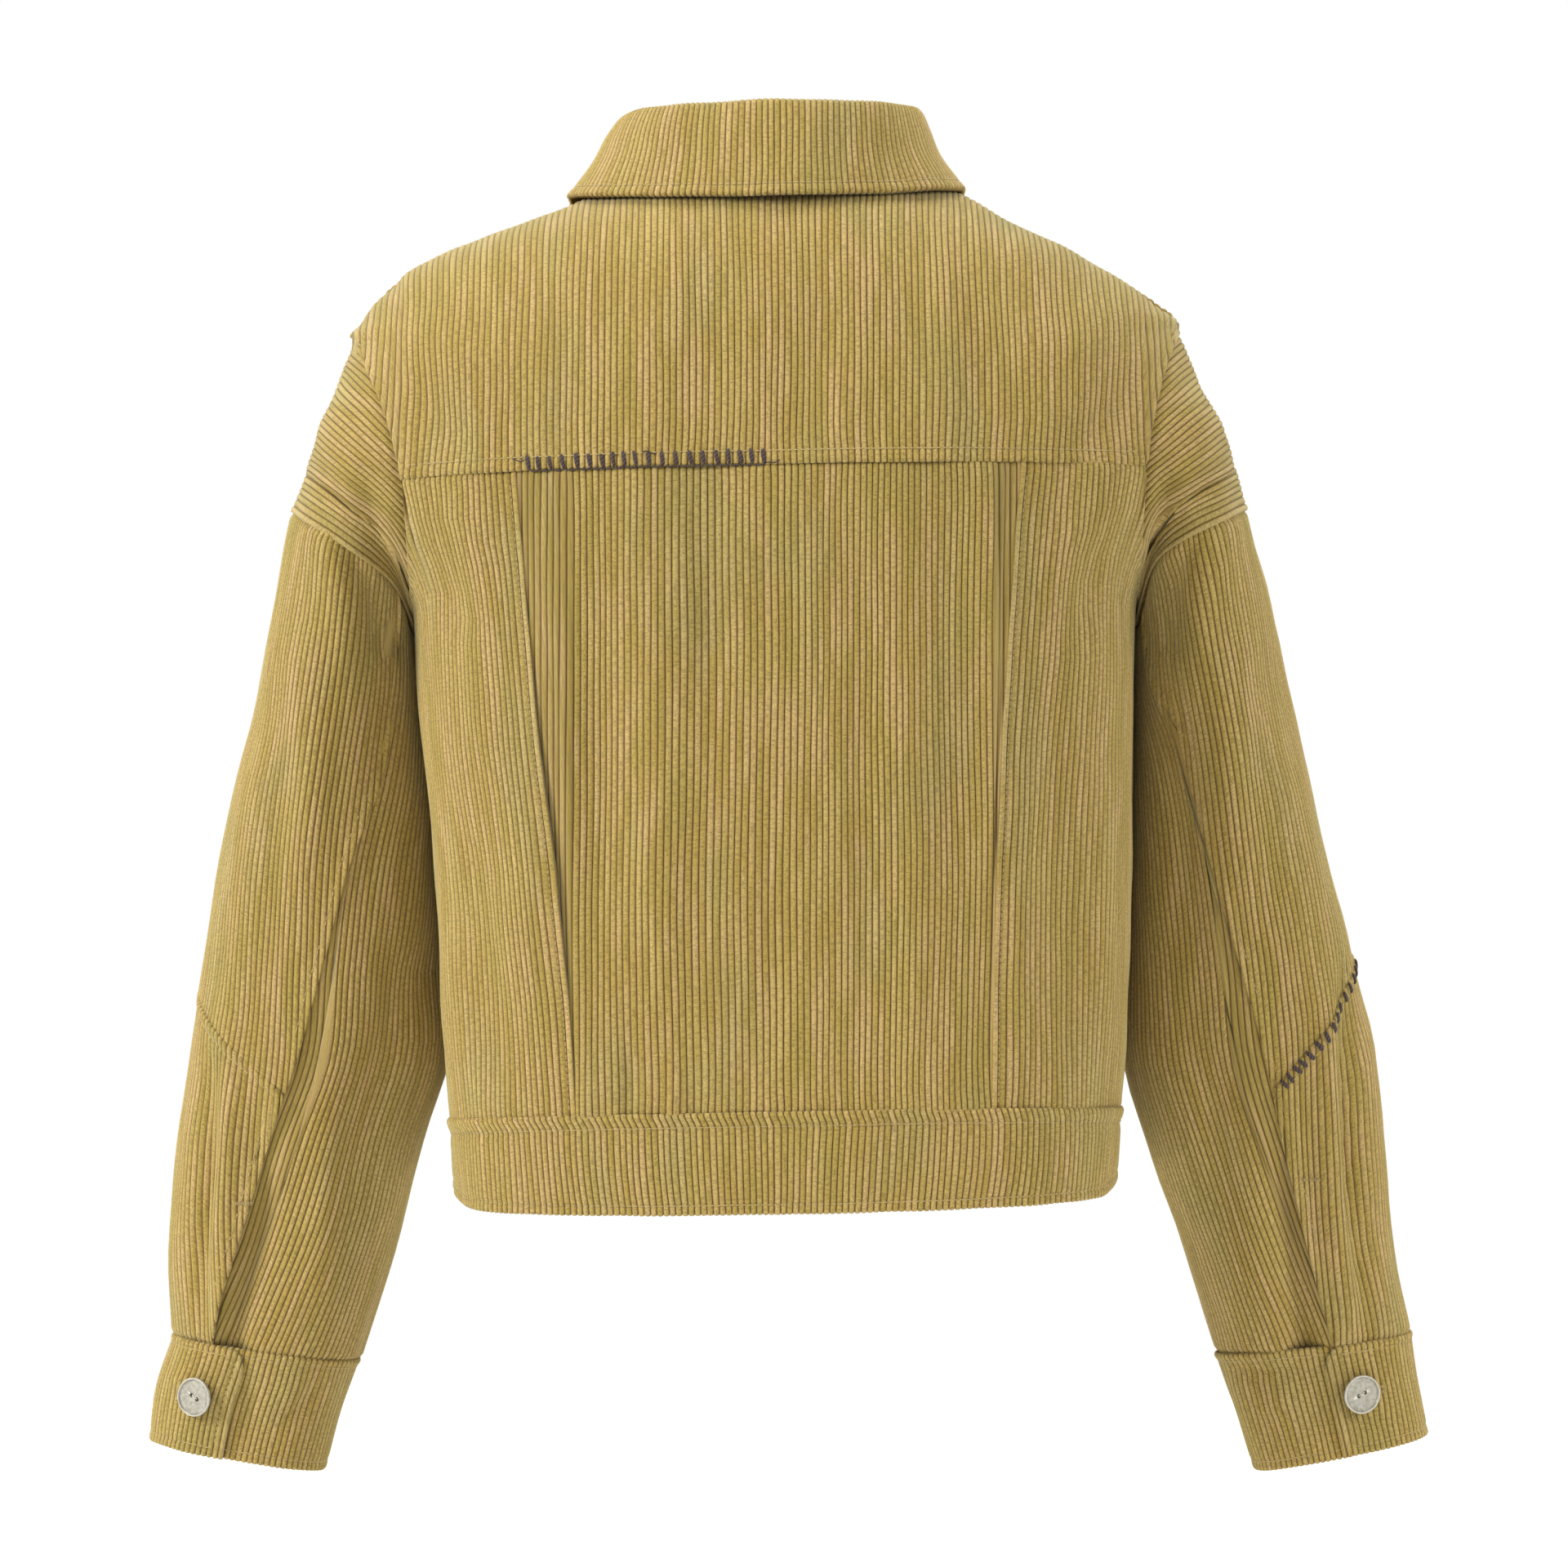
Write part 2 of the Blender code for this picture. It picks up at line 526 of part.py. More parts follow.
def elbow_ring(side, turn):
    """Ring at which the slanting elbow seam crosses the outer sleeve."""
    elbow = ELBOW[side]
    meeting = between(column(SLEEVE[side], SLEEVE_COLUMNS, "seam"), elbow.seam_ring - 1)
    share = np.clip(turn / np.radians(meeting), 0, None)
    return elbow.outer_ring + (elbow.seam_ring - elbow.outer_ring) * share**ELBOW_BEND


def armhole_turns(side):
    """Turns at which the rings of the fronts and the back meet the armhole, from the
    underarm round the front, over the top and down the back."""
    def turns(rings, face):
        return [armhole_at(ring, side, face)[2] for ring in rings if ARMHOLE_FOOT < ring < SHOULDER_END]

    front, back = turns(FRONT_RINGS, 1), turns(BACK_RINGS + YOKE_RINGS[1:], -1)
    return np.array([-math.pi] + [-turn for turn in front] + [0.0] + back[::-1] + [math.pi])


def build_sleeve(side, name):
    form = functools.partial(sleeve_point, side)
    seams = column(SLEEVE[side], SLEEVE_COLUMNS, "seam")

    def seam_turn(ring):
        return np.radians(between(seams, np.asarray(ring) - 1))

    def piece(label, ring, turn, edges):
        ring, turn = np.broadcast_arrays(ring, turn)
        cloth(f"sleeve_{label}_{name}", form(ring, turn), -side * normals_of(form, ring, turn), edges=edges)

    front, underarm, back = math.radians(FRONT_SLEEVE_SEAM), math.pi, float(seam_turn(CAP_SEAM))
    upper_turns = armhole_turns(side)
    outer_panels = len(upper_turns) - 1 - 2 * UNDER_PANELS
    lower_turns = np.concatenate([
        np.linspace(-underarm, front, UNDER_PANELS + 1),
        np.linspace(front, back, outer_panels + 1)[1:-1],
        np.linspace(back, underarm, UNDER_PANELS + 1),
    ])
    height = np.linspace(0, 1, CAP_ROWS)[:, None]
    cap_edges = (TURNED_EDGE, TURNED_EDGE, SEAM_EDGE, SEAM_EDGE)
    piece("cap", CAP_SEAM * height, upper_turns + (lower_turns - upper_turns) * height, cap_edges)

    share = np.linspace(0, 1, outer_panels + 1)
    turned_edge = (SEAM_EDGE, SEAM_EDGE, SEAM_EDGE, TURNED_EDGE)
    seam_rings, front_rings = [], []
    for label, rows, above in (("outer_upper", UPPER_ROWS, True), ("outer_lower", LOWER_ROWS, False)):
        height = np.linspace(0, 1, rows)[:, None]
        last_turn = seam_turn(np.linspace(CAP_SEAM, CUFF_SEAM, rows))[:, None]
        for _ in range(SEAM_ROUNDS):
            turn = front + (last_turn - front) * share
            border = elbow_ring(side, turn)
            first, last = (CAP_SEAM, border) if above else (border, CUFF_SEAM)
            ring = first + (last - first) * height
            last_turn = seam_turn(ring[:, -1])[:, None]
        turn = front + (last_turn - front) * share
        piece(label, ring, turn, turned_edge)
        seam_rings += list(ring[len(seam_rings) > 0 :, -1])
        front_rings += list(ring[len(front_rings) > 0 :, 0])

    at_underarm = (underarm - back) / (front + math.tau - back)
    share = np.concatenate([
        np.linspace(0, at_underarm, UNDER_PANELS + 1),
        np.linspace(at_underarm, 1, UNDER_PANELS + 1)[1:],
    ])
    seam_rings, front_rings = np.array(seam_rings)[:, None], np.array(front_rings)[:, None]
    turn = seam_turn(seam_rings) + (front + math.tau - seam_turn(seam_rings)) * share
    turned_edge = (SEAM_EDGE, SEAM_EDGE, TURNED_EDGE, SEAM_EDGE)
    piece("under", seam_rings + (front_rings - seam_rings) * share, turn, turned_edge)

    form = functools.partial(cuff_point, side)
    tab = math.radians(CUFF_TAB[side])
    under_end = tab - math.tau - math.radians(CUFF_UNDERLAP)
    heights, turns = np.linspace(0, 1, CUFF_ROWS), np.linspace(under_end, tab, CUFF_POINTS)
    height, turn = np.meshgrid(heights, turns, indexing="ij")
    normals = -side * normals_of(form, height, turn)
    share = np.clip((np.degrees(turn - tab) + 360 - CUFF_RISE_FROM) / CUFF_RISE_OVER, 0, 1)
    sink = LAP_RISE * (1 - share**2 * (3 - 2 * share))
    cuff_edges = (TURNED_EDGE, SEAM_EDGE, SEAM_EDGE, SEAM_EDGE)
    cloth("cuff_" + name, form(height, turn) - sink[..., None] * normals, normals, edges=cuff_edges)

    height, turn = np.array([CUFF_BUTTON[side].height]), np.radians([CUFF_BUTTON[side].turn])
    button("cuff_button_" + name, form(height, turn)[0], -side * normals_of(form, height, turn)[0])


for old in list(bpy.data.objects):
    bpy.data.objects.remove(old, do_unlink=True)
build_back()
build_fronts()
build_waistband()
build_collar()
build_sleeve(-1, "left")
build_sleeve(1, "right")
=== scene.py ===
"""Cropped corduroy jacket, buttoned and filled out with nobody in it, seen from behind.

Sizes are in millimetres until a piece is finished. Each piece of cloth is cut as flat
columns that run along its wales, four columns to a wale, and is then bent over the
form of the trunk, of a sleeve or of the neck.
"""
import math
from collections import namedtuple

import bmesh
import bpy
import numpy as np
from mathutils import Matrix, Vector


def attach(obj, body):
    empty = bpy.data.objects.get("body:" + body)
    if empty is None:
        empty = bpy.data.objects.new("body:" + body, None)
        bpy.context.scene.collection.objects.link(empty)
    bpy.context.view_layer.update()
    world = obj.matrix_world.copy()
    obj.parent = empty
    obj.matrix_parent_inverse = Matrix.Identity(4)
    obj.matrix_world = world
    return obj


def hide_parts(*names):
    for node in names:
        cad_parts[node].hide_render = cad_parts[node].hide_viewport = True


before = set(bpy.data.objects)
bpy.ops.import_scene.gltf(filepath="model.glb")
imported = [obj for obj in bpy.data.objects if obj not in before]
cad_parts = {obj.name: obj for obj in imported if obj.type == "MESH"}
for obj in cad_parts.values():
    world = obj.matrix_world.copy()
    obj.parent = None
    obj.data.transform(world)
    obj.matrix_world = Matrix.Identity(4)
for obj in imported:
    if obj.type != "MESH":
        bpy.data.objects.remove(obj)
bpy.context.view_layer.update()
MM = 0.001


# The set: a wide pale floor below the jacket, soft lamps all round with the strongest
# at the upper left, and a long lens level with the middle of the back.
FLOOR_HEIGHT, FLOOR_RADIUS = -0.78, 1.5
CAMERA_PLACE, CAMERA_LENS = (0.0042, -3.0, -0.313), 133.93
LAMPS = (   # place, size, power
    ((-2.5, -1.25, 0.9), 1.1, 78.0),
    ((2.6, -1.1, 0.8), 1.2, 42.0),
    ((-0.5, -3.4, 0.7), 1.6, 15.0),
    ((-0.2, -0.1, 2.3), 1.6, 46.0),
    ((-1.6, 2.4, 0.9), 1.6, 36.0),
    ((1.9, 2.0, 0.9), 1.6, 34.0),
)
AIM = Vector((0.0, 0.0, -0.3))
ROOM_LIGHT, BACKDROP_LIGHT = 0.25, 1.0
FLOOR_GREY, FLOOR_ROUGHNESS = 0.9, 0.9

scene = bpy.context.scene
scene.view_settings.view_transform = "Standard"
camera_data = bpy.data.cameras.new("camera")
camera_data.lens = CAMERA_LENS
camera = bpy.data.objects.new("camera", camera_data)
camera.location = CAMERA_PLACE
camera.rotation_euler = (math.pi / 2, 0.0, 0.0)
scene.collection.objects.link(camera)
scene.camera = camera
for number, (place, size, power_watts) in enumerate(LAMPS):
    lamp_data = bpy.data.lights.new(f"lamp_{number}", "AREA")
    lamp_data.size = size
    lamp_data.energy = power_watts
    lamp = bpy.data.objects.new(f"lamp_{number}", lamp_data)
    lamp.location = place
    lamp.rotation_euler = (AIM - Vector(place)).to_track_quat("-Z", "Y").to_euler()
    scene.collection.objects.link(lamp)

air = bpy.data.worlds.new("air")
air.use_nodes = True
scene.world = air
air_nodes, air_links = air.node_tree.nodes, air.node_tree.links
seen = air_nodes.new("ShaderNodeLightPath")
brightness = air_nodes.new("ShaderNodeMapRange")
brightness.inputs["To Min"].default_value = ROOM_LIGHT
brightness.inputs["To Max"].default_value = BACKDROP_LIGHT
air_links.new(seen.outputs["Is Camera Ray"], brightness.inputs["Value"])
air_nodes["Background"].inputs["Color"].default_value = (1.0, 1.0, 1.0, 1.0)
air_links.new(brightness.outputs["Result"], air_nodes["Background"].inputs["Strength"])

floor_mesh = bmesh.new()
bmesh.ops.create_circle(floor_mesh, cap_ends=True, segments=96, radius=FLOOR_RADIUS)
bmesh.ops.translate(floor_mesh, vec=(0, 0, FLOOR_HEIGHT), verts=floor_mesh.verts)
floor_data = bpy.data.meshes.new("floor")
floor_mesh.to_mesh(floor_data)
floor_mesh.free()
floor_paint = bpy.data.materials.new("floor paint")
floor_paint.use_nodes = True
floor_shader = floor_paint.node_tree.nodes["Principled BSDF"]
floor_shader.inputs["Base Color"].default_value = (FLOOR_GREY, FLOOR_GREY, FLOOR_GREY, 1.0)
floor_shader.inputs["Roughness"].default_value = FLOOR_ROUGHNESS
floor_data.materials.append(floor_paint)
floor = bpy.data.objects.new("floor", floor_data)
scene.collection.objects.link(floor)


# Middle of the back: a single width of 8-wale corduroy between the two long shaping
# seams, its wales upright, cut off slantwise by those seams. Its top is sewn under the
# yoke and its foot into the waistband.
WALE = 3.175                                  # from one valley to the next
WALE_PHASES = np.array([0.0, 0.14, 0.5, 0.86])    # columns across one wale
WALE_SHAPE = (0.0, 0.70, 1.0, 0.70, 0.0)
WALE_DEPTH, VALLEY_SINK = 0.85, 0.5
CLOTH = 1.8                                   # thickness with its turnings
ROW_STEP = 13.0                               # between mesh rows along a wale
EDGE_ROWS = (0.0, 0.8, 1.9, 3.2, 4.1, 5.0, 6.8, 10.5)     # rows at a stitched edge
PLAIN_ROWS = (0.0, 1.0, 2.5, 5.0)             # rows at a plain edge
LINE_SAMPLES = 90                             # points in a column's line on its form
CREASE_DEPTH = 1.9                            # strength of every listed crease
CREASE_SAMPLES, CREASE_FADE = 48, 0.7         # along a crease, and how fast its ends fade
UNEVEN_BY_WALE, UNEVEN_ALONG, UNEVEN_SIZE, SCATTER = 0.13, 0.10, 60, 12.9898    # of a wale's depth
WALE_PRESSED, PRESSED_WIDTH = 0.35, 0.9       # how far a stitch groove flattens the wales
WRAP_RISE, WRAP_SHARE, WRAP_OVER = 0.3, 0.8, 1.2    # how the wales turn round a rounded edge
PAST_OVER = 9                                 # over which a piece reaches past its seam
ROUND_SHARE, ROUND_LIMIT, GROOVE_WIDTH = 0.9, 0.97, 0.75
FOLDS = ((7, 85, 0.75), (8, 34, 0.32))        # seed, size and height of the small folds
WALE_DRIFT = ((11, 150, 0.9, 1.0, 20), (13, 45, 0.25, 2.0, 12))   # seed, size, reach, pace, fade
FOLLOW_LOW, FOLLOW_HIGH = -1.2, 1.0           # how far the cloth's back follows a worked edge
LEAN = 0.018                                  # of the whole jacket, to the wearer's right
LIFT_POWER = 1.5                              # how sharply a seam rises towards the middle
TRUNK_COLUMNS = ("side_z", "left", "right", "back", "front", "back_lift", "front_lift", "roundness")
TRUNK = (
    (-523.5, 164.0, 174.0, 96.0, 99.0, -3.5, -3.0, 2.8),
    (-483.0, 167.0, 176.5, 101.0, 104.0, 5.5, 2.0, 2.9),
    (-420.0, 170.0, 180.0, 106.0, 109.0, 0.0, 0.0, 2.9),
    (-353.0, 174.0, 182.0, 111.0, 114.0, 0.0, 0.0, 2.9),
    (-286.0, 181.0, 183.5, 115.0, 118.0, 0.0, 0.0, 2.9),
    (-222.0, 184.5, 184.0, 118.0, 121.0, 0.0, 0.0, 2.8),
    (-189.0, 186.0, 185.0, 119.0, 122.0, 1.0, 0.0, 2.6),
    (-157.0, 190.0, 187.0, 119.0, 122.0, 4.0, 0.0, 2.5),
    (-118.0, 200.0, 193.0, 115.0, 113.0, 1.0, -15.0, 2.3),
    (-84.0, 216.5, 205.5, 109.0, 104.0, -3.0, -37.0, 2.1),
    (-73.0, 212.5, 198.0, 106.0, 100.0, -3.0, -41.0, 2.05),
    (-60.0, 204.0, 182.0, 102.0, 95.0, -3.0, -46.0, 2.0),
    (-45.0, 184.0, 157.0, 96.0, 89.0, -3.0, -52.0, 2.0),
    (-29.5, 150.0, 125.5, 88.0, 81.0, -3.0, -58.0, 2.0),
    (-15.5, 110.0, 101.5, 78.0, 73.0, -5.0, -65.0, 2.0),
    (0.0, 76.0, 74.0, 64.0, 64.0, -8.0, -72.0, 2.0),
)
WAIST_SEAM, ARMHOLE_FOOT, YOKE_SEAM, SHOULDER_END, NECK_SEAM = 1, 5, 7, 9, 15     # rows of the table
Armhole = namedtuple("Armhole", "top_x foot_x top_z foot_z half_depth")
ARMHOLE = {
    -1: Armhole(216.5, 184.5, -84.0, -222.0, 74.0),
    1: Armhole(205.5, 184.0, -84.0, -222.0, 74.0),
}
ARMHOLE_HOLLOW = 3.0
SHAPING_RINGS = (0, 1, 2, 3, 4, 5, 6, 7)
SHAPING = {
    -1: (99.0, 100.0, 103.5, 109.5, 118.5, 124.5, 127.0, 130.0),
    1: (108.0, 108.5, 109.0, 110.5, 113.5, 118.0, 120.0, 123.0),
}

# How the border of a piece is worked: how far it stands up and over what distance it
# comes level, how far it reaches past its seam, the roundness of the turned edge, and
# the distance and depth of its stitched groove.
Edge = namedtuple("Edge", "rise run past round stitch groove")
OPEN = Edge(0.0, 1.0, 0.0, 0.0, 0.0, 0.0)
SEWN = Edge(-1.0, 2.6, 0.0, 0.0, 0.0, 0.0)
UNDER = Edge(-1.5, 4.5, 0.0, 0.0, 0.0, 0.0)
LAPPED = Edge(1.0, 13.0, 1.4, 1.0, 5.4, 0.55)
ROLLED = Edge(1.1, 6.5, 1.4, 1.1, 3.0, 0.3)
RIDGE = Edge(1.0, 3.8, 1.2, 1.0, 3.4, 0.35)
TURNED = Edge(0.3, 6.0, 0.0, 0.9, 4.6, 0.45)


def curve(before, here, after, beyond, part):
    """Smooth curve from one value to the next, part of the way along."""
    start, end, rise = (after - before) / 2, (beyond - here) / 2, after - here
    return here + part * (start + part * ((3 * rise - 2 * start - end) + part * (start + end - 2 * rise)))


def between(values, at):
    """Value of a table's column at a fractional row, along a smooth curve."""
    values, at = np.asarray(values, float), np.asarray(at, float)
    low = np.clip(np.floor(at).astype(int), 0, len(values) - 2)
    padded = np.concatenate([[2 * values[0] - values[1]], values, [2 * values[-1] - values[-2]]])
    return curve(*(padded[low + k] for k in range(4)), at - low)


def power(value, exponent):
    return np.sign(value) * np.abs(value) ** exponent


def smooth(share):
    share = np.clip(share, 0, 1)
    return share * share * (3 - 2 * share)


FINE_RINGS = np.linspace(0, NECK_SEAM, 451)
trunk_shape = {
    name: between([row[i] for row in TRUNK], FINE_RINGS) for i, name in enumerate(TRUNK_COLUMNS)
}


def trunk_at(name, ring):
    return np.interp(ring, FINE_RINGS, trunk_shape[name])


def armhole_seam(side, turn):
    """Point of an armhole seam before the lean; turn is 0 at its top, pi/2 at the back."""
    hole = ARMHOLE[side]
    height = (1 + np.cos(turn)) / 2
    x = side * (hole.foot_x + (hole.top_x - hole.foot_x) * height**ARMHOLE_HOLLOW)
    return x, -hole.half_depth * np.sin(turn), hole.foot_z + (hole.top_z - hole.foot_z) * height


def armhole_meeting(side, face):
    """Depth and reach of the armhole at each fine ring, on the back (-1) or front (1)."""
    name = "back" if face < 0 else "front"
    low, high = np.zeros(len(FINE_RINGS)), np.full(len(FINE_RINGS), math.pi)
    for _ in range(40):
        turn = (low + high) / 2
        x, y, z = armhole_seam(side, turn)
        ring_z = trunk_shape["side_z"] + trunk_shape[name + "_lift"] * (
            np.abs(y) / trunk_shape[name]) ** LIFT_POWER
        low, high = np.where(z > ring_z, turn, low), np.where(z > ring_z, high, turn)
    return np.abs(x), np.abs(y)


armhole_reach, armhole_depth, half_widths = {}, {}, {}
for side in (-1, 1):
    for face, face_name in ((-1, "back"), (1, "front")):
        reach, deep = armhole_meeting(side, face)
        share = np.clip(1 - (deep / trunk_shape[face_name]) ** trunk_shape["roundness"], 1e-9, 1)
        beside = (FINE_RINGS > ARMHOLE_FOOT) & (FINE_RINGS < SHOULDER_END)
        armhole_reach[side, face], armhole_depth[side, face] = reach, deep
        half_widths[side, face] = np.where(
            beside, reach / share ** (1 / trunk_shape["roundness"]),
            trunk_shape["left" if side < 0 else "right"])


def half_width(ring, side, face):
    return np.interp(ring, FINE_RINGS, half_widths[side, face])


def trunk_at_reach(x, ring, face):
    """Points of the back (-1) or front (1) of the trunk at a distance x from the middle."""
    x, ring = np.broadcast_arrays(x, ring)
    width = np.where(x < 0, half_width(ring, -1, face), half_width(ring, 1, face))
    roundness = trunk_at("roundness", ring)
    share = (1 - np.clip(np.abs(x) / width, 0, 1) ** roundness) ** (1 / roundness)
    name = "back" if face < 0 else "front"
    z = trunk_at("side_z", ring) + trunk_at(name + "_lift", ring) * share**LIFT_POWER + LEAN * x
    return np.stack([x, face * trunk_at(name, ring) * share, z], axis=-1)


def trunk_at_angle(ring, angle):
    """Points of the trunk; the angle is 0 at the middle of the back and grows to the
    wearer's right."""
    ring, angle = np.broadcast_arrays(ring, angle)
    roundness = trunk_at("roundness", ring)
    to_right, to_front = np.sin(angle) >= 0, np.cos(angle) < 0
    width = np.where(
        to_right,
        np.where(to_front, half_width(ring, 1, 1), half_width(ring, 1, -1)),
        np.where(to_front, half_width(ring, -1, 1), half_width(ring, -1, -1)))
    share = np.abs(np.cos(angle)) ** (2 / roundness)
    depth = np.where(to_front, trunk_at("front", ring), trunk_at("back", ring))
    lift = np.where(to_front, trunk_at("front_lift", ring), trunk_at("back_lift", ring))
    x = width * power(np.sin(angle), 2 / roundness)
    y = np.where(to_front, 1, -1) * depth * share
    return np.stack([x, y, trunk_at("side_z", ring) + lift * share**LIFT_POWER + LEAN * x], axis=-1)


def run_of(points):
    """Distance along lines of points, from their first."""
    steps = np.linalg.norm(np.diff(points, axis=-2), axis=-1)
    return np.concatenate([np.zeros(steps.shape[:-1] + (1,)), np.cumsum(steps, axis=-1)], axis=-1)


def points_at(places, run, values):
    """Points or normals of a line at the given distances along it."""
    return np.stack([np.interp(places, run, column) for column in values.T], axis=-1)


def even_marks(start, end, pitch=WALE, offset=0.0):
    """Places of the valleys across a piece with wales of one width."""
    return np.arange(start - 2 * pitch + offset, end + 3 * pitch, pitch)


def uneven_marks(start, end, places, pitches):
    """Places of the valleys where the wales are wider here and narrower there."""
    x = np.linspace(start - 12, end + 12, 1200)
    count = np.concatenate([[0], np.cumsum(np.diff(x) / np.interp(x[1:], places, pitches))])
    return np.interp(np.arange(int(count[-1])), count, x)


def wale_columns(start, end, marks):
    """Wale numbers and places of the mesh columns from start to end."""
    numbers = np.arange(len(marks))
    low, high = np.interp([start, end], marks, numbers)
    columns = (np.arange(math.floor(low), math.ceil(high) + 1)[:, None] + WALE_PHASES).ravel()
    columns = columns[(columns > low + 0.1) & (columns < high - 0.1)]
    columns = np.concatenate([[low], columns, [high]])
    return columns, np.interp(columns, numbers, marks)


def ripple(seed, across, along, size):
    """Smooth unevenness of a piece, about -1 to 1, in waves some size millimetres long."""
    angles = np.random.default_rng(seed).uniform(0, math.tau, (5, 2))
    total = 0.0
    for number, (way, start) in enumerate(angles):
        pace = math.tau / size * (0.6 + 0.23 * number)
        total = total + np.sin(pace * (across * math.cos(way) + 0.6 * along * math.sin(way)) + start)
    return total / 2.6


def row_places(lengths, low_rows, high_rows, step):
    """Distances of the mesh rows along columns, closer together towards both ends."""
    low, high = np.array(low_rows), np.array(high_rows)
    squeeze = np.minimum(1, 0.46 * lengths / max(low[-1], high[-1]))[:, None]
    first, last = low * squeeze, lengths[:, None] - high[::-1] * squeeze
    count = max(2, math.ceil((lengths.max() - low[-1] - high[-1]) / step))
    share = np.linspace(0, 1, count + 1)[1:-1]
    return np.concatenate([first, first[:, -1:] + (last[:, :1] - first[:, -1:]) * share, last], axis=1)


def along_lines(runs, values, places):
    """Values of each line at the given distances along it."""
    return np.stack([points_at(*line) for line in zip(places, runs, values)])


def unit(vectors):
    return vectors / np.maximum(np.linalg.norm(vectors, axis=-1, keepdims=True), 1e-12)


def form_normals(lines, outward):
    """Normals of the form under lines, from the nearest places on the lines beside each."""
    along_way = unit(np.gradient(lines, axis=1))
    size = (lines**2).sum(axis=-1)
    beside = []
    for step in (-2, 2):
        other = np.clip(np.arange(len(lines)) + step, 0, len(lines) - 1)
        apart = size[other][:, None] + size[:, :, None] - 2 * lines @ lines[other].transpose(0, 2, 1)
        nearest = apart.argmin(axis=2)[..., None]
        place = np.take_along_axis(lines[other], nearest, axis=1)
        way = np.take_along_axis(along_way[other], nearest, axis=1)
        lean = (way * along_way).sum(axis=-1)
        slide = ((lines - place) * along_way).sum(axis=-1) / np.where(np.abs(lean) < 0.2, 1, lean)
        spacing = run_of(lines[other])[:, -1:] / (lines.shape[1] - 1)
        beside.append((place + slide[..., None] * way, (np.abs(slide) < spacing + 0.3)[..., None]))
    (before, has_before), (after, has_after) = beside
    across_way = np.where(has_after, after, lines) - np.where(has_before, before, lines)
    across_way = np.where(has_before | has_after, across_way, np.gradient(lines, axis=0))
    return unit(np.cross(across_way, along_way)) * outward


def edge_table(kinds, count):
    """One Edge, or one for each column, as arrays that broadcast over rows."""
    rows = [kinds] * count if isinstance(kinds, Edge) else list(kinds)
    return Edge(*(np.array(field, float)[:, None] for field in zip(*rows)))


def edge_height(edge, distance):
    """Height that a worked edge gives to the cloth at a distance from it."""
    rounding = np.clip(1 - distance / np.maximum(edge.round, 1e-6), 0, 1)
    return (
        edge.rise * (1 - smooth(distance / edge.run))
        - edge.round * (1 - np.sqrt(1 - np.minimum(rounding, ROUND_LIMIT) ** 2)) * ROUND_SHARE
        - edge.groove * np.exp(-(((distance - edge.stitch) / GROOVE_WIDTH) ** 2)))


def crease_height(creases, points, normals):
    """Height of listed creases. Each is (face, places in x and z, width, height);
    a positive height is a ridge, and both ends fade out."""
    total = np.zeros(points.shape[:-1])
    flat = points[..., [0, 2]].reshape(-1, 2)
    for face, places, width, height in creases:
        places = np.array(places, float)
        run = run_of(places)
        steps = np.linspace(0, run[-1], CREASE_SAMPLES)
        fine = points_at(steps, run, places)
        away = np.linalg.norm(flat[:, None] - fine, axis=-1)
        nearest = away.argmin(axis=1)
        fade = np.sin(math.pi * (nearest + 0.5) / len(fine)) ** CREASE_FADE
        lift = CREASE_DEPTH * height * fade * np.exp(-((away[np.arange(len(flat)), nearest] / width) ** 2))
        facing = smooth(face * normals[..., 1] * 2.2 + 0.35)
        total += lift.reshape(total.shape) * facing
    return total


def mesh_array(items, field, kind, width=1):
    values = np.empty(len(items) * width, kind)
    items.foreach_get(field, values)
    return values


Laid = namedtuple("Laid", "points normals away")


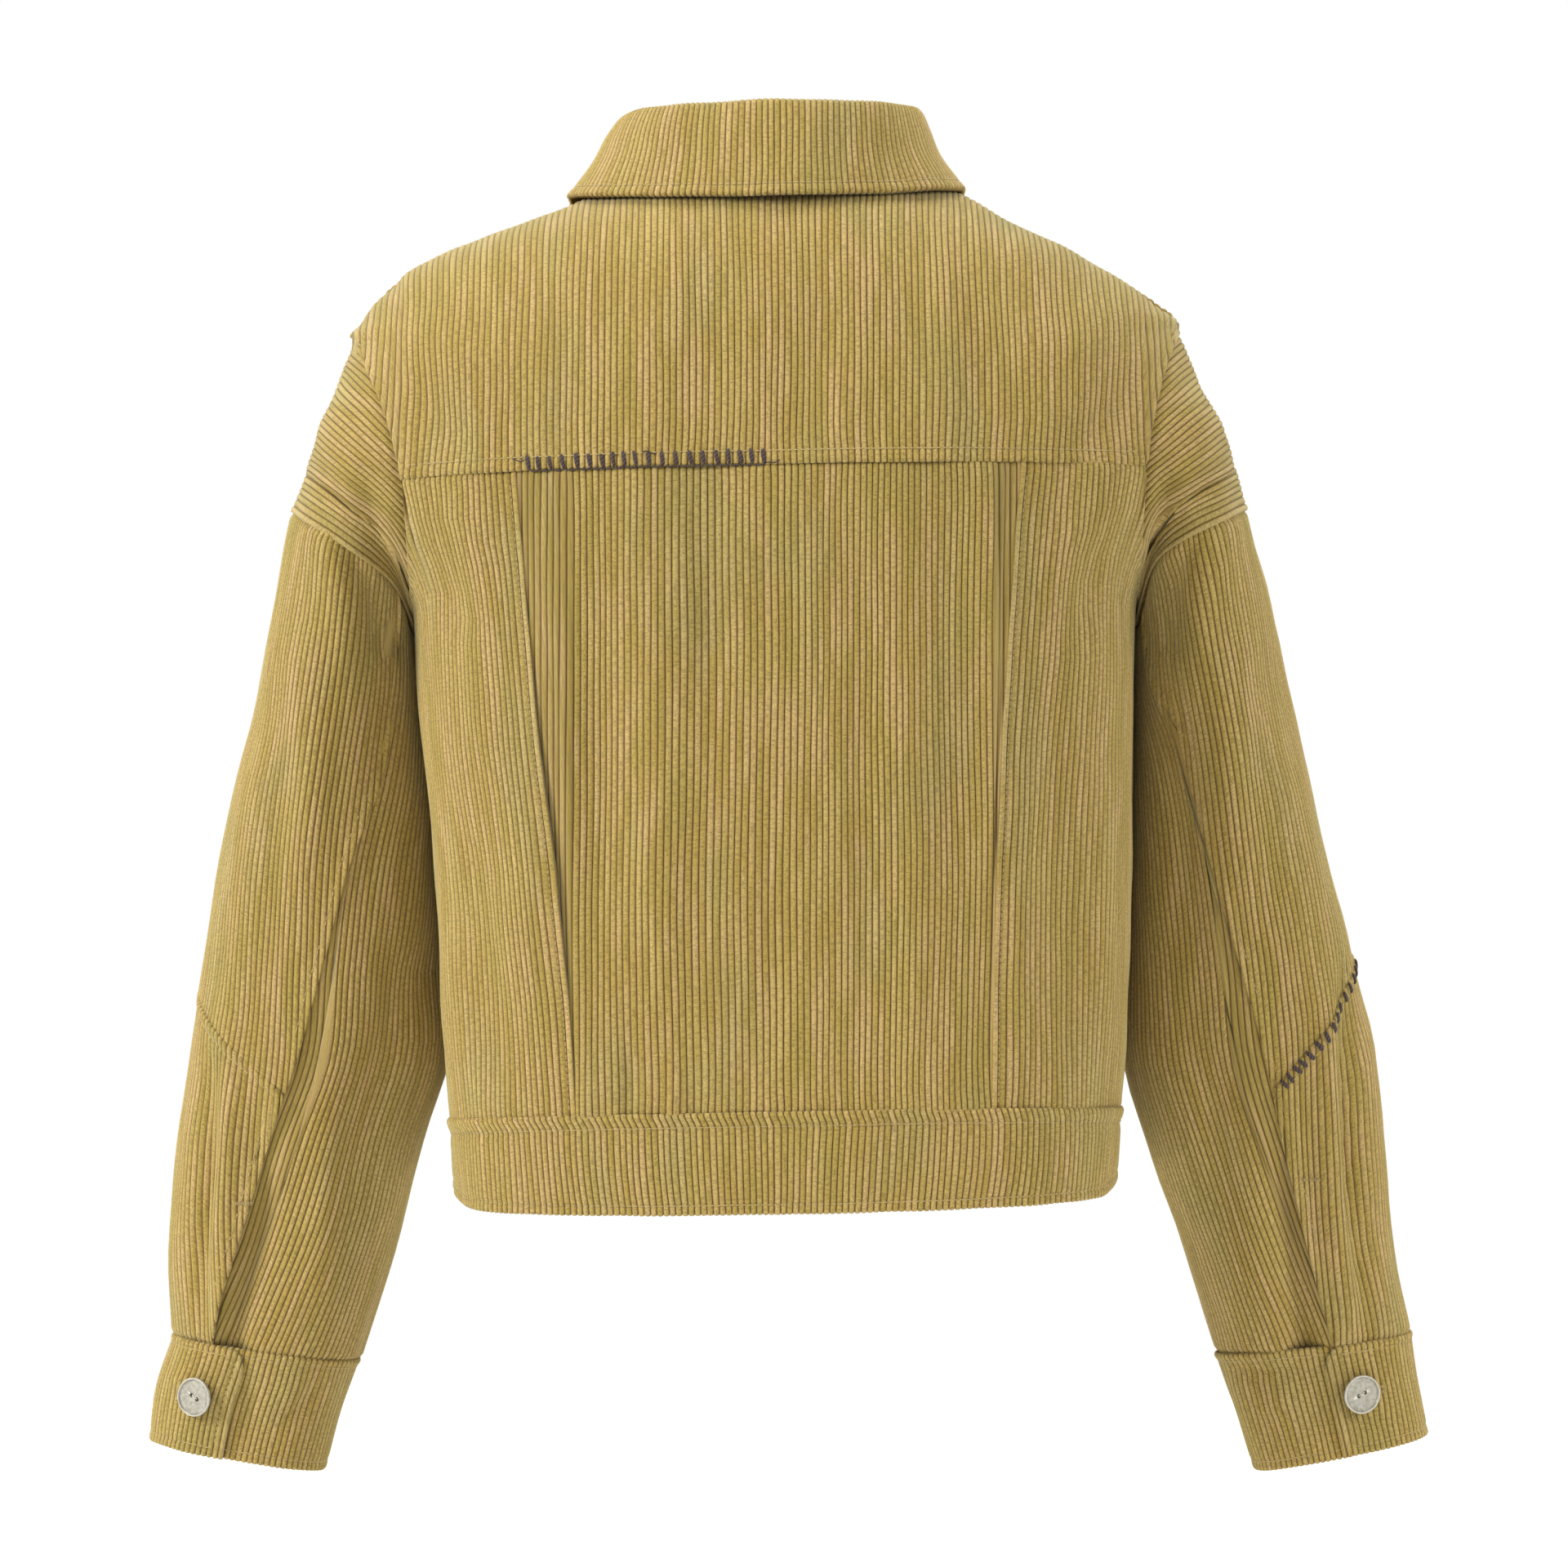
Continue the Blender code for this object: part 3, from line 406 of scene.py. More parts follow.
def lay_cloth(name, parts, numbers, across, ends, sides, outward, finishes, creases=(), seed=1,
              rows=(EDGE_ROWS, EDGE_ROWS), keep=None, thickness=CLOTH, skew=None, step=ROW_STEP, lift=0.0):
    """Cuts one piece of corduroy flat, bends it over its form and gives it its wales,
    worked edges and creases. parts holds one or two stacked sets of lines on the form,
    one line for each column; ends holds the worked edges at the foot and head of the
    columns, sides those of the first and last column. keep counts the columns that both
    parts share and those of the lower and of the upper part; lift raises whole columns."""
    count = len(numbers)
    points, normals, low_away, high_away, run_all, toward = [], [], [], [], [], []
    for number, lines in enumerate(parts):
        runs = run_of(lines)
        lengths = runs[:, -1]
        along_way, facing = np.gradient(lines, axis=1), form_normals(lines, outward)
        first, last = number == 0, number == len(parts) - 1
        places = row_places(lengths, rows[0] if first else PLAIN_ROWS, rows[1] if last else PLAIN_ROWS, step)
        points.append(along_lines(runs, lines, places))
        normals.append(unit(along_lines(runs, facing, places)))
        toward.append(unit(along_lines(runs, along_way, places)))
        for end, away, distance in ((0, low_away, places), (-1, high_away, lengths[:, None] - places)):
            border = np.gradient(lines[:, end], axis=0)
            slant = np.linalg.norm(np.cross(unit(along_way[:, end]), unit(border)), axis=-1)
            away.append(distance * np.where(slant < 0.1, 1, slant)[:, None])
        run_all.append(places + (run_all[-1][:, -1:] if run_all else 0))
    split = points[0].shape[1]
    points, normals, toward = (np.concatenate(x, axis=1) for x in (points, normals, toward))
    places = np.concatenate(run_all, axis=1)
    whole = np.arange(count) < (count if keep is None else keep[0])
    far = np.full_like(places, 1e3)
    low, high = far.copy(), far.copy()
    low[:, :split], high[:, -high_away[-1].shape[1]:] = low_away[0], high_away[-1]
    if len(parts) == 2:
        low[~whole, split:] = low_away[1][~whole]
        high[~whole, :split] = high_away[0][~whole]

    across_way = unit(np.cross(toward, normals)) * outward
    low_edge, high_edge = edge_table(ends[0], count), edge_table(ends[1], count)
    first_edge, last_edge = edge_table(sides[0], count), edge_table(sides[1], count)
    from_first = np.abs(across - across[0])[:, None] + 0 * places
    from_last = np.abs(across[-1] - across)[:, None] + 0 * places
    heights, shift_along, shift_across = 0.0, 0.0, 0.0
    phase = (numbers % 1)[:, None]
    by_wale = np.sin(SCATTER * np.floor(numbers) + seed)[:, None]
    vary = 1 + UNEVEN_BY_WALE * by_wale + UNEVEN_ALONG * ripple(
        seed + 3, across[:, None] * 2.0, places, UNEVEN_SIZE)
    wale = WALE_DEPTH * vary * np.interp(phase, (*WALE_PHASES, 1.0), WALE_SHAPE) - VALLEY_SINK
    for edge, distance, way in (
        (low_edge, low, -1), (high_edge, high, 1), (first_edge, from_first, -1), (last_edge, from_last, 1),
    ):
        heights = heights + edge_height(edge, distance)
        pressed = np.exp(-(((distance - edge.stitch) / PRESSED_WIDTH) ** 2))
        wale = wale - edge.groove * WALE_PRESSED * pressed * (wale > 0)
        wrap = (wale + WRAP_RISE) * WRAP_SHARE * np.clip(1 - distance / WRAP_OVER, 0, 1)
        reach = edge.past * (1 - smooth(distance / PAST_OVER)) + np.where(edge.round > 0, wrap, 0)
        if distance is low or distance is high:
            shift_along = shift_along + way * reach
        else:
            shift_across = shift_across + way * reach
    folds = crease_height(creases, points, normals)
    for step_on, size, height in FOLDS:
        folds = folds + height * ripple(seed + step_on, across[:, None] + 0 * places, places, size)
    border = np.minimum(np.minimum(low, high), np.minimum(from_first, from_last))
    wobble = 0.0
    for step_on, size, reach, pace, fade in WALE_DRIFT:
        drift = ripple(seed + step_on, across[:, None] * pace, places, size)
        wobble = wobble + reach * drift * smooth(border / fade)
    if skew is not None:
        wobble = wobble + skew(low, high, places)
    slide = shift_along[..., None] * toward + (shift_across + wobble)[..., None] * across_way
    folds = folds + np.reshape(lift, (-1, 1))
    outer = points + slide + (wale + heights + folds)[..., None] * normals
    below = folds + np.clip(heights, FOLLOW_LOW, FOLLOW_HIGH) - thickness
    inner = points + slide + below[..., None] * normals

    columns, row_count = outer.shape[:2]
    flat = bmesh.new()
    bmesh.ops.create_grid(flat, x_segments=columns - 1, y_segments=row_count - 1, size=0.5)
    if keep is not None:
        cut = []
        for face in flat.faces:
            middle = face.calc_center_median()
            row, column = int((middle.y + 0.5) * (row_count - 1)), int((middle.x + 0.5) * (columns - 1))
            kept = keep[0] if row == split - 1 else keep[1] if row < split else keep[2]
            if column >= kept - 1:
                cut.append(face)
        bmesh.ops.delete(flat, geom=cut, context="FACES")
    turned = bmesh.ops.extrude_face_region(flat, geom=flat.faces[:])
    lifted = [item for item in turned["geom"] if isinstance(item, bmesh.types.BMVert)]
    bmesh.ops.translate(flat, vec=(0, 0, -outward), verts=lifted)
    bmesh.ops.recalc_face_normals(flat, faces=flat.faces)
    data = bpy.data.meshes.new(name)
    flat.to_mesh(data)
    flat.free()
    for finish in finishes:
        data.materials.append(finish)
    at = mesh_array(data.vertices, "co", np.float32, 3).reshape(-1, 3)
    column = np.rint((at[:, 0] + 0.5) * (columns - 1)).astype(int)
    row = np.rint((at[:, 1] + 0.5) * (row_count - 1)).astype(int)
    inside = np.abs(at[:, 2]) > 0.5
    corners = mesh_array(data.loops, "vertex_index", np.int32)
    wales_map = data.uv_layers.new(name="wales")
    wales_map.data.foreach_set("uv", np.stack(
        [numbers[column[corners]], places[column, row][corners]], axis=-1).astype(np.float32).ravel())
    starts = mesh_array(data.polygons, "loop_start", np.int32)
    lining = np.logical_and.reduce([inside[corners[starts + k]] for k in range(4)])
    data.polygons.foreach_set("material_index", lining.astype(np.int32))
    bent = np.where(inside[:, None], inner[column, row], outer[column, row]) * MM
    data.vertices.foreach_set("co", bent.astype(np.float32).ravel())
    data.update()
    data.shade_smooth()
    piece = bpy.data.objects.new(name, data)
    scene.collection.objects.link(piece)
    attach(piece, "root")
    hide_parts(name)
    return piece, Laid(outer, normals, np.stack([low, high, from_first, from_last], axis=-1))


class Tone:
    """A shader socket that Python's own signs work on."""

    def __init__(self, finish, socket):
        self.finish, self.socket = finish, socket

    def worked(self, operation, *values):
        return self.finish.node("ShaderNodeMath", {"operation": operation}, dict(enumerate(values)))

    def __add__(self, other):
        return self.worked("ADD", self, other)

    def __sub__(self, other):
        return self.worked("SUBTRACT", self, other)

    def __rsub__(self, other):
        return self.worked("SUBTRACT", other, self)

    def __mul__(self, other):
        return self.worked("MULTIPLY", self, other)

    def __truediv__(self, other):
        return self.worked("DIVIDE", self, other)

    def __abs__(self):
        return self.worked("ABSOLUTE", self)

    __radd__, __rmul__ = __add__, __mul__


class Finish:
    """A material whose nodes are made one by one."""

    def __init__(self, name, **constants):
        self.material = bpy.data.materials.new(name)
        self.material.use_nodes = True
        self.tree = self.material.node_tree
        self.surface = self.tree.nodes["Principled BSDF"]
        for socket, value in constants.items():
            self.surface.inputs[socket.replace("_", " ")].default_value = value

    def node(self, kind, settings=None, inputs=None, output=0):
        made = self.tree.nodes.new(kind)
        for key, value in (settings or {}).items():
            setattr(made, key, value)
        for key, value in (inputs or {}).items():
            self.join(value, made.inputs[key])
        return Tone(self, made.outputs[output])

    def join(self, value, socket):
        if isinstance(value, Tone):
            self.tree.links.new(value.socket, socket)
        else:
            socket.default_value = value

    def set(self, name, value):
        self.join(value, self.surface.inputs[name])

    def axes(self, uv_map):
        """The two coordinates of a UV map."""
        place = self.node("ShaderNodeUVMap", {"uv_map": uv_map})
        split = self.node("ShaderNodeSeparateXYZ", None, {"Vector": place})
        return split, Tone(self, split.socket.node.outputs["Y"])

    def bump(self, strength, distance, height):
        self.set("Normal", self.node("ShaderNodeBump", None, {
            "Strength": strength, "Distance": distance, "Height": height}))

    def vector(self, x, y, z=0.0):
        return self.node("ShaderNodeCombineXYZ", None, {"X": x, "Y": y, "Z": z})

    def noise(self, vector, scale=1.0, detail=2.0, rough=0.5, dimensions="2D"):
        return self.node("ShaderNodeTexNoise", {"noise_dimensions": dimensions},
                         {"Vector": vector, "Scale": scale, "Detail": detail, "Roughness": rough})

    def stretch(self, value, low, high, to_low=0.0, to_high=1.0):
        return self.node("ShaderNodeMapRange", {"interpolation_type": "SMOOTHSTEP"}, {
            "Value": value, "From Min": low, "From Max": high, "To Min": to_low, "To Max": to_high})

    def mix(self, factor, first, second, blend="MIX"):
        settings = {"data_type": "RGBA", "blend_type": blend}
        return self.node("ShaderNodeMix", settings, {0: factor, 6: first, 7: second}, output=2)


def corduroy_finish():
    """Cut pile in raised wales: gold and tan crests, wale by wale a little different, with
    painted shade that darkens the flanks and valleys of the wales to brown, and greenish
    patches of painted sheen where the pile lies the other way."""
    cloth = Finish("corduroy", Roughness=0.88, Sheen_Weight=0.50, Sheen_Roughness=0.42,
                   Sheen_Tint=(0.86, 0.88, 0.60, 1.0), Specular_IOR_Level=0.12)
    across, along = cloth.axes("wales")
    ragged = cloth.noise(cloth.vector(across * 2.0, along * 0.55), detail=3.0, rough=0.65)
    from_crest = abs(across.worked("FRACT", across) - 0.5) * 2.0 + (ragged - 0.5) * 0.30
    # Painted shade: masks that darken the colour down the flanks of each wale into its valley.
    valley_shade = cloth.stretch(from_crest, 0.72, 1.02)
    flank_shade = cloth.stretch(from_crest, 0.42, 0.94)
    wale_number = across.worked("FLOOR", across)
    by_wale = cloth.noise(cloth.vector(wale_number * 3.71, along / 55.0), detail=2.0)
    by_group = cloth.noise(cloth.vector(across / 6.0, along / 70.0), detail=2.0)
    # Greenish patches of painted sheen, where the pile would lie the other way.
    sheen_patches = cloth.noise(cloth.vector(across / 14.0 + 7.3, along / 120.0 + 2.1), detail=3.0)
    flecks = cloth.noise(cloth.vector(across * 5.5, along * 2.3), detail=3.0, rough=0.7)
    nicks = cloth.noise(cloth.vector(across * 0.9, along * 0.85), detail=3.0, rough=0.6)

    # Gold and tan are the cloth's own tones; the greenish third colour is painted sheen.
    gold, tan, sheen_sage = (0.480, 0.335, 0.085, 1), (0.515, 0.355, 0.140, 1), (0.385, 0.340, 0.120, 1)
    crest = cloth.mix(cloth.stretch(by_wale, 0.35, 0.65), gold, tan)
    crest = cloth.mix(cloth.stretch(by_group, 0.42, 0.66) * 0.45, crest, (0.455, 0.350, 0.085, 1))
    crest = cloth.mix(cloth.stretch(sheen_patches, 0.52, 0.72) * 0.40, crest, sheen_sage)
    shade = cloth.stretch(nicks, 0.30, 0.62, 0.74, 1.06) * cloth.stretch(flecks, 0.28, 0.72, 0.64, 1.32)
    shade = shade * cloth.stretch(by_wale, 0.25, 0.75, 0.88, 1.10)
    crest = cloth.mix(1.0, crest, cloth.vector(shade, shade, shade), "MULTIPLY")
    # Painted shade: the flanks are mixed towards a darker brown and the valleys towards a dark brown.
    side = cloth.mix(flank_shade * 0.9, crest, (0.300, 0.196, 0.052, 1))
    cloth.set("Base Color", cloth.mix(valley_shade, side, (0.135, 0.079, 0.026, 1)))
    fuzz = cloth.noise(cloth.vector(across * 9.0, along * 3.4), detail=3.0, rough=0.7)
    height = fuzz * 0.6 + nicks * 0.7 + flecks * 0.5
    cloth.bump(0.55, 0.0006, height)
    return cloth.material


def lining_finish():
    """Bare back of the same cloth, a close slanting twill."""
    back = Finish("cloth back", Roughness=0.9, Sheen_Weight=0.1)
    across, along = back.axes("wales")
    turns = across * 19.0 + along * 6.0
    slant = turns.worked("SINE", turns)
    mottle = back.noise(back.vector(across / 3.0, along / 11.0), detail=4.0)
    shade = slant * 0.16 + mottle * 0.5 + 0.6
    back.set("Base Color", back.mix(
        1.0, (0.250, 0.172, 0.066, 1), back.vector(shade, shade, shade), "MULTIPLY"))
    back.bump(0.4, 0.0003, slant)
    return back.material


corduroy, lining = corduroy_finish(), lining_finish()
cloth_finishes = (corduroy, lining)
samples = np.linspace(0, 1, LINE_SAMPLES)
CENTRE_PITCHES = (   # places across the back, and the wales' widths there
    (-130, -75, -58, 4, 28, 90, 123),
    (3.2, 3.2, 3.5, 3.45, 3.0, 2.95, 3.1),
)
CENTRE_CREASES = (
    (-1, ((-60, -200), (-58, -300), (-57, -380), (-56, -478)), 12.0, 2.2),
    (-1, ((-92, -168), (-90, -250), (-88, -340), (-90, -440)), 11.0, -2.4),
    (-1, ((-30, -163), (-34, -230), (-31, -300)), 9.0, -1.8),
    (-1, ((44, -170), (46, -260), (42, -360), (43, -470)), 10.0, -1.6),
    (-1, ((80, -165), (88, -250), (90, -370)), 12.0, -1.7),
    (-1, ((66, -250), (68, -360), (66, -460)), 9.0, 1.3),
    (-1, ((-4, -330), (-2, -400), (-8, -476)), 9.0, -1.3),
    (-1, ((-72, -440), (-74, -484)), 5.0, -2.0),
    (-1, ((-52, -452), (-50, -486)), 4.0, 1.6),
    (-1, ((-92, -455), (-96, -486)), 5.0, 1.4),
)
centre_numbers, centre_x = wale_columns(-129.3, 122.3, uneven_marks(-130, 124, *CENTRE_PITCHES))
on_left = centre_x < 0
start_ring = np.where(
    on_left, np.interp(-centre_x, SHAPING[-1], SHAPING_RINGS), np.interp(centre_x, SHAPING[1], SHAPING_RINGS))
start_ring = np.maximum(start_ring, WAIST_SEAM)
centre_rings = start_ring[:, None] + (YOKE_SEAM - start_ring[:, None]) * samples
back_centre, _ = lay_cloth(
    "back_centre", [trunk_at_reach(centre_x[:, None], centre_rings, -1)], centre_numbers, centre_x,
    (SEWN, UNDER), (OPEN, OPEN), 1, cloth_finishes, CENTRE_CREASES, seed=21)


# Side backs, left and right: their wales run parallel to the long shaping seams, where
# a one-wale ridge laps over the middle panel. They reach round to the side seams, and
# their heads are cut out for the sleeves.
SIDE_CREASES = {
    -1: (
        (-1, ((-176, -190), (-168, -215), (-150, -240)), 9.0, -2.2),
        (-1, ((-170, -176), (-150, -186), (-128, -190)), 8.0, 1.4),
        (-1, ((-150, -300), (-148, -380), (-138, -476)), 12.0, -2.0),
        (-1, ((-122, -260), (-118, -360), (-112, -470)), 10.0, 1.5),
        (-1, ((-168, -330), (-164, -400), (-160, -470)), 9.0, 1.6),
    ),
    1: (
        (-1, ((176, -182), (160, -208), (146, -250)), 9.0, -2.2),
        (-1, ((166, -172), (146, -190), (126, -196)), 8.0, 1.3),
        (-1, ((140, -250), (142, -350), (146, -470)), 12.0, -1.8),
        (-1, ((164, -300), (166, -380), (166, -470)), 9.0, 1.5),
        (-1, ((122, -300), (122, -400), (120, -476)), 8.0, 1.2),
    ),
}


def spread(form, rings, start, end, zero, places):
    """Angles of columns at each ring, by their distance round it from the angle zero,
    and how far inside the piece each column lies there."""
    share = np.linspace(0, 1, 320)
    start, end, zero = (np.broadcast_to(np.asarray(x, float), rings.shape) for x in (start, end, zero))
    angles = start[:, None] + (end - start)[:, None] * share
    runs = run_of(form(rings[:, None], angles))
    found, inside = [], []
    for run, angle, first, last, middle in zip(runs, angles, start, end, zero):
        place = np.interp((middle - first) / (last - first), share, run) + places
        found.append(np.interp(place, run, angle))
        inside.append(np.minimum(place, run[-1] - place))
    return np.array(found), np.array(inside) + 0.02


def spans(rings, inside):
    """First and last ring at which each column lies inside its piece."""
    within = inside > 0
    ends = []
    for order in (slice(None), slice(None, None, -1)):
        flags, places, depth = within[order], rings[order], inside[order]
        first = flags.argmax(axis=0)
        before = np.maximum(first - 1, 0)
        column = np.arange(inside.shape[1])
        here, there = depth[first, column], depth[before, column]
        share = np.where(first > 0, there / np.where(there == here, 1, there - here), 0)
        ends.append(places[before] + (places[first] - places[before]) * share)
    return ends[0], ends[1]


def fill_in(first, last):
    """Samples of each column from its first ring or turn to its last."""
    return first[:, None] + (last - first)[:, None] * samples


def read_off(at, rings, table):
    """Values of a table of rings and columns, each column at its own samples."""
    return np.stack([np.interp(at[j], rings, table[:, j]) for j in range(len(at))])


def outer_angle(side, face, ring):
    """Angle at which the back or a front ends: side seam or armhole."""
    name = "back" if face < 0 else "front"
    share = np.interp(ring, FINE_RINGS, armhole_depth[side, face]) / trunk_at(name, ring)
    bend = np.arcsin(np.clip(share, 0, 1) ** (trunk_at("roundness", ring) / 2))
    return side * (math.pi / 2 + face * np.where(ring <= ARMHOLE_FOOT, 0, bend))


side_laid = {}
back_rings = np.linspace(WAIST_SEAM, YOKE_SEAM, 181)
for side, word, cut_size in ((-1, "left", (0.142, 0.332, 0.0385)), (1, "right", (0.136, 0.332, 0.0370))):
    share = np.interp(back_rings, SHAPING_RINGS, SHAPING[side]) / half_width(back_rings, side, -1)
    seam_angles = side * np.arcsin(share ** (trunk_at("roundness", back_rings) / 2))
    side_angles = outer_angle(side, -1, back_rings)
    widest = run_of(trunk_at_angle(back_rings[:, None], seam_angles[:, None] + (
        side_angles - seam_angles)[:, None] * np.linspace(0, 1, 200)))[:, -1].max() - 0.6
    numbers, places = wale_columns(0.0, widest, even_marks(0.0, widest))
    angles, inside = spread(trunk_at_angle, back_rings, seam_angles, side_angles, seam_angles, places)
    low_ring, high_ring = spans(back_rings, inside)
    rings = fill_in(low_ring, high_ring)
    turned = read_off(rings, back_rings, angles)
    panel, side_laid[side] = lay_cloth(
        "back_side_" + word, [trunk_at_angle(rings, turned)], numbers, places,
        (SEWN, [UNDER if ring > YOKE_SEAM - 0.02 else ROLLED for ring in high_ring]), (RIDGE, SEWN),
        side, cloth_finishes, SIDE_CREASES[side], seed=31 + side)


# Back yoke: one width that runs up over the shoulders to seams a little in front of
# them. Its lower edge is turned in and topstitched down over the panels below, and its
# ends roll over the sleeves.
SHOULDER_SEAM_FORWARD = 15.0
YOKE_CREASES = (
    (-1, ((-186, -104), (-172, -128), (-150, -150)), 10.0, -1.8),
    (-1, ((-190, -80), (-160, -96), (-120, -100)), 12.0, 1.2),
    (-1, ((184, -100), (168, -126), (146, -148)), 10.0, -1.8),
    (-1, ((180, -78), (150, -92), (112, -96)), 12.0, 1.2),
    (-1, ((-110, -60), (-104, -100), (-106, -150)), 10.0, -1.2),
    (-1, ((-60, -50), (-62, -100), (-58, -150)), 9.0, 1.0),
    (-1, ((20, -40), (24, -95), (20, -150)), 10.0, -1.0),
    (-1, ((84, -56), (88, -100), (84, -148)), 10.0, 1.0),
)
shoulder_rings = np.linspace(SHOULDER_END, NECK_SEAM, 241)
seam_share = SHOULDER_SEAM_FORWARD * (shoulder_rings - SHOULDER_END) / (NECK_SEAM - SHOULDER_END)
seam_share = (seam_share / trunk_at("front", shoulder_rings)) ** trunk_at("roundness", shoulder_rings)
seam_share = (1 - seam_share) ** (1 / trunk_at("roundness", shoulder_rings))


def shoulder_seam_ring(side, reach):
    """Ring of the front on which the shoulder seam lies at a distance from the middle."""
    seam_reach = half_width(shoulder_rings, side, 1) * seam_share
    return np.interp(reach, seam_reach[::-1], shoulder_rings[::-1])


def ridge_ring(side, reach):
    return np.interp(reach, half_width(shoulder_rings, side, 1)[::-1], shoulder_rings[::-1])


def armhole_ring(side, face, reach):
    """Ring above the yoke seam's level at which the armhole has that reach."""
    above = (FINE_RINGS >= 6.2) & (FINE_RINGS <= SHOULDER_END)
    return np.interp(reach, armhole_reach[side, face][above], FINE_RINGS[above])


YOKE_SHORT = 0.25                             # that the yoke's ends stop short of the shoulder tips
yoke_numbers, yoke_x = wale_columns(
    YOKE_SHORT - ARMHOLE[-1].top_x, ARMHOLE[1].top_x - YOKE_SHORT, even_marks(-216, 206, offset=1.2))
yoke_lines, yoke_feet = [], []
for x in yoke_x:
    side = -1 if x < 0 else 1
    reach = abs(x)
    foot = max(YOKE_SEAM, float(armhole_ring(side, -1, reach)))
    yoke_feet.append(foot)
    if reach < half_width(NECK_SEAM, side, 1):
        rings = foot + (NECK_SEAM - foot) * samples
        yoke_lines.append(trunk_at_reach(x, rings, -1))
        continue
    top, seam = float(ridge_ring(side, reach)), float(shoulder_seam_ring(side, reach))
    share = np.linspace(0, 1, 70)
    behind = trunk_at_reach(x, foot + (top - foot) * (1 - (1 - share) ** 2), -1)
    share = np.linspace(0, 1, LINE_SAMPLES - 69)[1:]
    before = trunk_at_reach(x, top + (seam - top) * share**2, 1)
    yoke_lines.append(np.concatenate([behind, before]))
back_yoke, yoke_laid = lay_cloth(
    "back_yoke", [np.array(yoke_lines)], yoke_numbers, yoke_x,
    ([LAPPED if foot <= YOKE_SEAM + 0.01 else ROLLED for foot in yoke_feet], SEWN), (ROLLED, ROLLED), 1,
    cloth_finishes, YOKE_CREASES, seed=41)


# Fronts, left and right: cut with their wales upright, the wearer's right one lapping
# over the left at the middle, both turned in and topstitched along that edge. They meet
# the side backs at the sides, the yoke at the shoulders and the collar at the neck.
FRONT_LAP, LAP_RAMP, LAP_RISE = 12.0, 45.0, 2.3
FRONT_SPLIT = 6.5
FRONT_EDGE = Edge(0.3, 8.0, 0.0, 0.9, 6.0, 0.5)
FRONT_CREASES = {
    -1: (
        (1, ((-176, -190), (-160, -215), (-130, -230)), 9.0, -2.2),
        (1, ((-182, -120), (-150, -140), (-110, -146)), 12.0, 1.4),
        (1, ((-140, -260), (-136, -360), (-126, -476)), 12.0, -2.0),
        (1, ((-90, -220), (-94, -330), (-88, -470)), 12.0, 1.8),
        (1, ((-52, -180), (-50, -300), (-56, -460)), 11.0, -1.6),
    ),
    1: (
        (1, ((176, -186), (156, -212), (132, -234)), 9.0, -2.2),
        (1, ((176, -118), (146, -138), (104, -150)), 12.0, 1.4),
        (1, ((146, -250), (140, -350), (136, -476)), 12.0, -1.9),
        (1, ((96, -230), (92, -330), (96, -470)), 12.0, 1.7),
        (1, ((56, -200), (60, -310), (54, -466)), 11.0, -1.5),
    ),
}


def lap_rise(reach):
    return LAP_RISE * smooth((LAP_RAMP + 2 * FRONT_LAP - reach) / LAP_RAMP)


front_laid = {}
front_rings = np.linspace(WAIST_SEAM, FRONT_SPLIT, 141)
for side, word in ((-1, "left"), (1, "right")):
    middle, past = side * math.pi, side * (math.pi + 0.2)
    ends = outer_angle(side, 1, front_rings)
    widths = run_of(trunk_at_angle(front_rings[:, None], middle + (ends - middle)[:, None] * np.linspace(
        0, 1, 240)))[:, -1]
    numbers, places = wale_columns(-FRONT_LAP, widths.max() - 0.6, even_marks(-FRONT_LAP, widths.max()))
    shared = int((places < widths[-1] - 0.2).sum())
    angles, inside = spread(trunk_at_angle, front_rings, past, ends, middle, places)
    low_ring, high_ring = spans(front_rings, inside)
    high_ring[:shared] = FRONT_SPLIT
    rings = fill_in(low_ring, high_ring)
    turned = read_off(rings, front_rings, angles)
    below = trunk_at_angle(rings, turned)
    reach = np.abs(below[:, -1, 0]) * np.sign(places + 1e-9)
    reach[shared:] = reach[shared - 1] + places[shared:] - places[shared - 1]
    upper = int((reach < ARMHOLE[side].top_x - YOKE_SHORT).sum())
    reach = np.minimum(reach, reach[upper - 1])
    foot = np.where(np.arange(len(places)) < shared, FRONT_SPLIT + 0.25, armhole_ring(side, 1, reach))
    head = np.where(reach < half_width(NECK_SEAM, side, 1) * seam_share[-1], NECK_SEAM,
                    shoulder_seam_ring(side, reach))
    rings = fill_in(foot, head)
    above = trunk_at_reach(side * reach[:, None] + 0 * rings, rings, 1)
    heads = [SEWN if place < places[shared - 1] else ROLLED for place in places]
    panel, front_laid[side] = lay_cloth(
        "front_" + word, [below, above], numbers, places, (SEWN, heads), (FRONT_EDGE, SEWN), -side,
        cloth_finishes, FRONT_CREASES[side], seed=51 + side, keep=(shared, len(places), upper),
        lift=lap_rise(places) if side > 0 else 0.0)


# Waistband: one long strip, its top edge rolled over the panels above a deep stitched
# groove so that the wales twist there like a rope, its foot turned up and stitched. Its
# right end laps over the left at the front.
BAND_TOP = Edge(1.5, 7.5, 1.2, 1.6, 6.0, 1.1)
BAND_FOOT = Edge(0.3, 6.0, 0.0, 1.0, 4.6, 0.45)
BAND_TWIST, BAND_CORNER = 2.4, 7.0
band_angle = np.linspace(-math.pi - 0.2, math.pi + 0.2, 1600)
band_run = run_of(trunk_at_angle(0.5, band_angle))
band_middle = np.interp([-math.pi, math.pi], band_angle, band_run)
band_numbers, band_places = wale_columns(
    band_middle[0] - FRONT_LAP, band_middle[1] + FRONT_LAP, even_marks(0, band_run[-1]))
band_columns = np.interp(band_places, band_run, band_angle)
hem_points = trunk_at_angle(0.0, band_columns)
